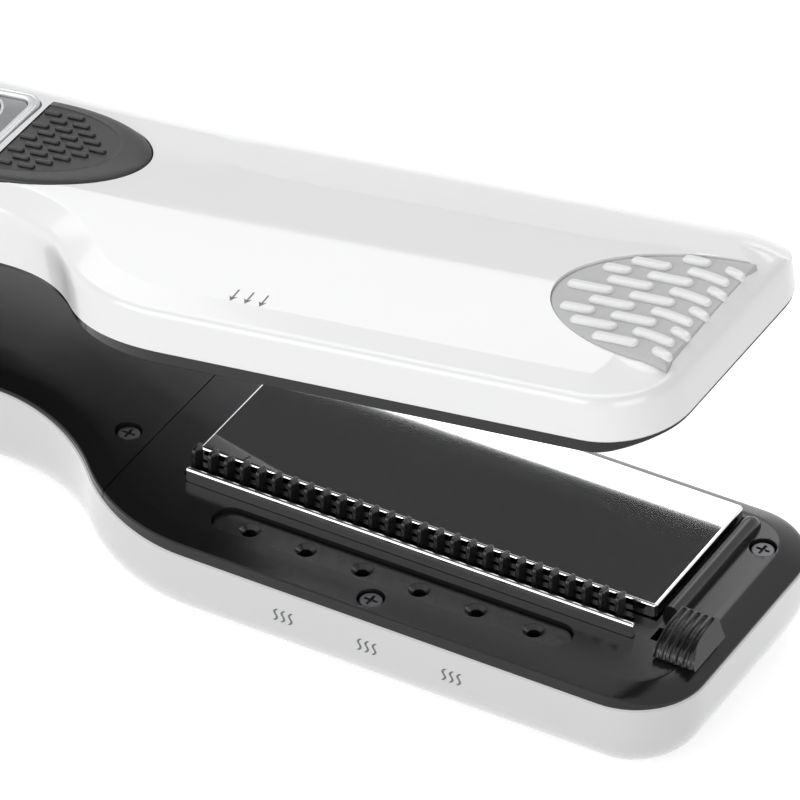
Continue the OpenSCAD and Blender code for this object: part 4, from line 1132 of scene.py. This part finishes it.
def ridge(spots, half, z0, z1):
    """Bar with round ends along a line of (x, y) spots, from z0 out to z1."""
    rings = []
    (xa, ya), (xb, yb) = spots[0], spots[-1]
    length = hypot(xb - xa, yb - ya)
    ends = [0, 0.02, 0.06, 0.12, 0.22]
    for t in [e / 2 for e in ends] + [0.3, 0.5, 0.7] + [1 - e / 2 for e in ends[::-1]]:
        at = t * (len(spots) - 1)
        i = min(int(at), len(spots) - 2)
        x, y = (mix(p, q, at - i) for p, q in zip(spots[i], spots[i + 1]))
        inside = min(1.0, length * min(t, 1 - t) / half)
        swell = sqrt(max(0.03, 1 - (1 - inside) ** 2))
        w, h = half * swell, (z1 - z0) * swell
        section = [(x, y - w, z0 + 0.2)]
        for a in range(0, 181, 18):
            c, up = cos(radians(180 - a)), sin(radians(a))
            section.append((x, y + w * copysign(abs(c) ** 0.7, c), z0 + h * up ** 0.6))
        section.append((x, y + w, z0 + 0.2))
        rings.append(section)
    return loft(rings, UPPER)


def build_bezel():
    y0, y1 = PANEL_Y - PANEL_W / 2, PANEL_Y + PANEL_W / 2
    outer = rounded_rect(PANEL_X0 - BEZEL_W, PANEL_X1 + BEZEL_W, y0 - BEZEL_W, y1 + BEZEL_W, 4)
    inner = rounded_rect(PANEL_X0 + FIT / 2, PANEL_X1 - FIT / 2, y0 + FIT / 2, y1 - FIT / 2, 2.5)
    steps = [(outer, 0, 2.6), (outer, 0, 0.15), (outer, 0.1, -0.15), (outer, 0.4, -0.3),
             (outer, 0.75, -0.26), (outer, 0.9, -0.1), (outer, 1.05, -0.24), (inner, -0.4, -0.24),
             (inner, -0.05, -0.05), (inner, 0, 0.35), (inner, 0, 2.6)]
    made = hoop([level(outline(d), PANEL_TOP + z) for outline, d, z in steps], UPPER)
    piece(made, "panel_bezel_ring", "upper_arm", "bezel_metal", ["panel_bezel"], angle=50)


def build_panel():
    y0, y1 = PANEL_Y - PANEL_W / 2 + FIT, PANEL_Y + PANEL_W / 2 - FIT
    top = PANEL_TOP + 0.3
    made = prism(rounded_rect(PANEL_X0 + FIT, PANEL_X1 - FIT, y0, y1, 2.4),
                 top + 1.4, top, UPPER, top_r=0.15, steps=2)
    wells = [rod_z(BUTTON_X, PANEL_Y + s * BUTTON_DY, top - 2, top + 3, BUTTON_R + SLIDE, UPPER)
             for s in (-1, 1)]
    wells.append(rod_z(POWER_X, PANEL_Y, top - 2, top + 3, POWER_R + SLIDE, UPPER))
    cut(made, wells)
    piece(made, "control_panel_face", "upper_arm", "panel_black", ["control_panel"], width=0.1,
          angle=40)
    x0, x1 = POWER_X + POWER_R + 3.2, BUTTON_X - BUTTON_R - 2.4
    glass = prism(rounded_rect(x0, x1, y0 + 2.6, y1 - 2.6, 1.5), top + 0.1, top - 0.14,
                  UPPER, top_r=0.1, steps=2)
    piece(glass, "display_window", "upper_arm", "display_grey", finish=DISPLAY_GLASS, angle=50)
    trims = []
    for x, dy, r in ((BUTTON_X, -BUTTON_DY, BUTTON_R), (BUTTON_X, BUTTON_DY, BUTTON_R),
                     (POWER_X, 0, POWER_R)):
        rings = [level(circle(x, PANEL_Y + dy, r + SLIDE + d)(0), top + z)
                 for d, z in ((0.02, 0.1), (0.02, -0.12), (0.18, -0.24), (0.42, -0.24),
                              (0.6, -0.12), (0.62, 0.1))]
        trims.append(hoop(rings, UPPER))
    piece(joined(trims), "button_trim_rings", "upper_arm", "bezel_metal",
          finish=FINISH["button_silver"], angle=60)


def button(name, x, y, r, marks):
    """Round key with a shallow dish and a raised sign."""
    top = PANEL_TOP - 0.5
    under = PANEL_TOP + 0.3 + 1.4 + SLIDE
    steps = ((r, under), (r, top + 0.45), (r - 0.13, top + 0.13), (r - 0.45, top),
             (r - 0.8, top), (r * 0.6, top + 0.16), (r * 0.3, top + 0.24))
    key = loft([level(circle(x, y, q)(0), z) for q, z in steps], UPPER)
    skirt = rod_z(x, y, under, under + 0.8, r + 0.8, UPPER)
    stem = rod_z(x, y, under + 0.7, PANEL_TOP + 4.35, 1.6, UPPER, 24)
    signs = [block(x + a, x + b, y + c, y + d, top + 0.4, top + 0.02, UPPER, 0.15)
             for a, b, c, d in marks]
    piece(joined([key, skirt, stem] + signs), name + "_key", name, "button_silver", [name],
          angle=45)


def build_buttons():
    bar = 1.5
    thin = 0.24
    across = (-bar, bar, -thin, thin)
    upright = (-thin, thin, -bar, bar)
    button("plus_button", BUTTON_X, PANEL_Y + BUTTON_DY, BUTTON_R, [across, upright])
    button("minus_button", BUTTON_X, PANEL_Y - BUTTON_DY, BUTTON_R, [upright])
    button("power_button", POWER_X, PANEL_Y, POWER_R, [(-0.3, 1.9, -thin, thin)])


DRUM_L = 8.35
GLAND_L = 9
GLAND_RIB_PITCH = 1.9


def build_swivel():
    x0 = -TAIL_L - SLIDE
    nose = x0 - GLAND_L
    out = [(x0 + DRUM_L, CORD_R), (x0 + DRUM_L, SWIVEL_R), (x0 - 0.1, SWIVEL_R),
           (x0 - 0.12, SWIVEL_R + 0.9)]
    for k in range(4):
        x = x0 - 1.3 - k * GLAND_RIB_PITCH
        r = mix(SWIVEL_R + 0.85, CORD_R + 1.5, (x0 - x) / GLAND_L)
        out += [(x + 0.35, r + 0.02), (x + 0.3, r - 0.45), (x - 0.3, r - 0.5), (x - 0.35, r - 0.02)]
    out += [(nose + 0.4, CORD_R + 1.4), (nose, CORD_R + 1.0), (nose, CORD_R)]
    gland = hoop(turned(out, 0, SWIVEL_Z), UPPER)
    x1 = x0 + DRUM_L + 0.2
    collar = [(x1 - 0.3, CORD_R), (x1 - 0.3, SWIVEL_R - 0.2), (x1 + 0.15, SWIVEL_R - 0.2),
              (x1 + 0.15, SWIVEL_R + 0.4), (x1 + 1.1, SWIVEL_R + 0.4), (x1 + 1.1, CORD_R)]
    made = joined([gland, hoop(turned(collar, 0, SWIVEL_Z), UPPER)])
    piece(made, "cord_swivel_gland", "swivel", "hinge_black", ["cord_swivel"], angle=40)


# ---- printed marks
ARROW_X = 214.5
ARROW_Y = -30.5
ARROW_STEP = 2.8
WISP_X = 222.6
WISP_Z = -11.9
WISP_H = 2.5
WISP_STEP = 16.0
WISP_LINE_STEP = 1.4
INK_HALF = 0.22


def build_arrows():
    """Three small printed arrows that point to the comb side."""
    parts = []
    for k in range(3):
        x, y = ARROW_X + k * ARROW_STEP, ARROW_Y
        shaft = [(x - 0.15, y), (x + 0.15, y), (x + 0.15, y - 2.4), (x - 0.15, y - 2.4)]
        head = [(x - 0.75, y - 1.9), (x, y - 2.2), (x + 0.75, y - 1.9), (x, y - 3.1)]
        for outline in (shaft, head):
            rings = [[(px, py, top_z(px, py) + dz) for px, py in outline] for dz in (0.15, -0.03)]
            parts.append(loft(rings, UPPER))
    dress(joined(parts), "arrow_marks", "upper_arm", "black_frame", finish=PRINT_GREY)


def build_wisps():
    """Three small printed wisps on the near side of the lower arm."""
    parts = []
    for k in range(9):
        x0 = WISP_X + WISP_STEP * (k // 3) + WISP_LINE_STEP * (k % 3 - 1)
        spots = [(x0 + 0.4 * sin(2 * pi * t) + 0.6 * t, WISP_Z + WISP_H * t)
                 for t in (s / 8 for s in range(9))]
        outline = ([(x - INK_HALF, z) for x, z in spots]
                   + [(x + INK_HALF, z) for x, z in spots[::-1]])
        rings = [[(x, y, z) for x, z in outline] for y in (NEAR_Y + 0.1, NEAR_Y - 0.03)]
        parts.append(loft(rings, LOWER))
    dress(joined(parts), "wisp_marks", "lower_arm", "black_frame", finish=PRINT_GREY)


build_lower_shell()
build_upper_shell()
build_lower_frame()
build_upper_frame()
build_covers()
heating_plate("lower_plate_face", LOWER, "lower_arm", "lower_plate")
heating_plate("upper_plate_face", UPPER, "floating_plate", "upper_plate")
build_chrome_rail()
build_end_bar()
build_comb()
build_knob()
build_comb_slider()
build_steam_strip()
build_screws()
build_tank()
build_thumb_pad()
build_tip_grip()
build_bezel()
build_panel()
build_buttons()
build_swivel()
build_arrows()
build_wisps()


# ---- stage, light and camera
def ray_split(tree, plain, shown):
    """Mixes two shaders: plain light, and what the camera, reflections and glass show."""
    path = new_node(tree, "LightPath").outputs
    most = path["Is Camera Ray"]
    for kind in ("Is Glossy Ray", "Is Transmission Ray"):
        top = new_node(tree, "Math")
        top.operation = "MAXIMUM"
        tree.links.new(most, top.inputs[0])
        tree.links.new(path[kind], top.inputs[1])
        most = top.outputs["Value"]
    both = new_node(tree, "MixShader", Fac=most)
    tree.links.new(plain, both.inputs[1])
    tree.links.new(shown, both.inputs[2])
    return both.outputs["Shader"]


AMBIENT = 0.42
WHITE = (1, 1, 1, 1)
FLOOR_COLOR = (0.8, 0.8, 0.8, 1)
FLOOR_GLOW = 0.6
FLOOR_HALF = 4
FLOOR_DROP = 0.0005


def build_world():
    world = bpy.data.worlds.new("studio")
    bpy.context.scene.world = world
    world.use_nodes = True
    tree = world.node_tree
    soft = feed(tree, tree.nodes["Background"], Color=WHITE, Strength=AMBIENT)
    shown = new_node(tree, "Background", Color=WHITE, Strength=1.0)
    feed(tree, tree.nodes["World Output"],
         Surface=ray_split(tree, soft.outputs["Background"], shown.outputs["Background"]))


def build_floor():
    mesh = bpy.data.meshes.new("floor")
    half, z = FLOOR_HALF, -FLOOR_DROP
    mesh.from_pydata([(-half, -half, z), (half, -half, z), (half, half, z), (-half, half, z)], [],
                     [(0, 1, 2, 3)])
    m = bpy.data.materials.new("pale_floor")
    m.use_nodes = True
    tree = m.node_tree
    shader = feed(tree, tree.nodes["Principled BSDF"], Base_Color=FLOOR_COLOR, Roughness=0.9,
                  Specular_IOR_Level=0.0)
    glow = new_node(tree, "Emission", Color=WHITE, Strength=FLOOR_GLOW)
    total = new_node(tree, "AddShader")
    tree.links.new(shader.outputs["BSDF"], total.inputs[0])
    tree.links.new(glow.outputs["Emission"], total.inputs[1])
    feed(tree, tree.nodes["Material Output"],
         Surface=ray_split(tree, shader.outputs["BSDF"], total.outputs["Shader"]))
    mesh.materials.append(m)
    placed("floor", mesh)


def softbox(name, azimuth, elevation, distance, width, tall, radiance):
    """Rectangular lamp aimed at the object; its brightness is given as radiance."""
    a, e = radians(azimuth), radians(elevation)
    way = Vector((cos(e) * cos(a), cos(e) * sin(a), sin(e)))
    lamp = bpy.data.lights.new(name, "AREA")
    lamp.shape = "RECTANGLE"
    lamp.size, lamp.size_y = width, tall
    lamp.energy = radiance * pi * width * tall
    obj = placed(name, lamp)
    obj.location = AIM + way * distance
    obj.rotation_euler = way.to_track_quat("Z", "Y").to_euler()


def dark_card(name, corners):
    """Upright black card that only reflections see."""
    mesh = bpy.data.meshes.new(name)
    mesh.from_pydata([(x * MM, CARD_Y * MM, z * MM) for x, z in corners], [],
                     [tuple(range(len(corners)))])
    mesh.materials.append(CARD_BLACK)
    card = placed(name, mesh)
    card.visible_camera = card.visible_diffuse = False
    card.visible_shadow = card.visible_transmission = False


CARD_BLACK = node_material("card_black", (0.012, 0.012, 0.012), 0.9)
CARD_Y = 150
# Corners (x, z) of what the plate and the far half of the back reflect
PLATE_CARD = [(-420, 145.5), (211, 145.5), (196, 172), (184, 196), (-420, 196)]
BACK_CARD = [(-60, 330), (60, 330), (95, 262), (230, 262), (230, 440), (-60, 440)]
# Name, azimuth, elevation, distance, width, height and radiance
LAMPS = (("key", 131, 50, 4.0, 4.6, 2.9, 2.1), ("left_fill", -125, 14, 3.0, 2.4, 1.4, 3.0),
         ("right_fill", -45, 14, 3.0, 2.4, 1.4, 2.6))
LENS = 376.65
SENSOR = 36
AIM = Vector((0.2135, 0.0162, 0.015))
VIEW_BACK = Vector((0.3957, -0.6937, 0.6018)).normalized()
VIEW_DISTANCE = 1.4251


def build_camera():
    data = bpy.data.cameras.new("camera")
    data.sensor_width = SENSOR
    data.lens = LENS
    data.clip_start = 0.1
    data.clip_end = 20
    cam = placed("camera", data)
    cam.location = AIM + VIEW_BACK * VIEW_DISTANCE
    cam.rotation_euler = (-VIEW_BACK).to_track_quat("-Z", "Y").to_euler()
    bpy.context.scene.camera = cam


build_world()
build_floor()
dark_card("plate_card", PLATE_CARD)
dark_card("shoulder_card", BACK_CARD)
for lamp in LAMPS:
    softbox(*lamp)
build_camera()
bpy.context.scene.view_settings.view_transform = "Standard"
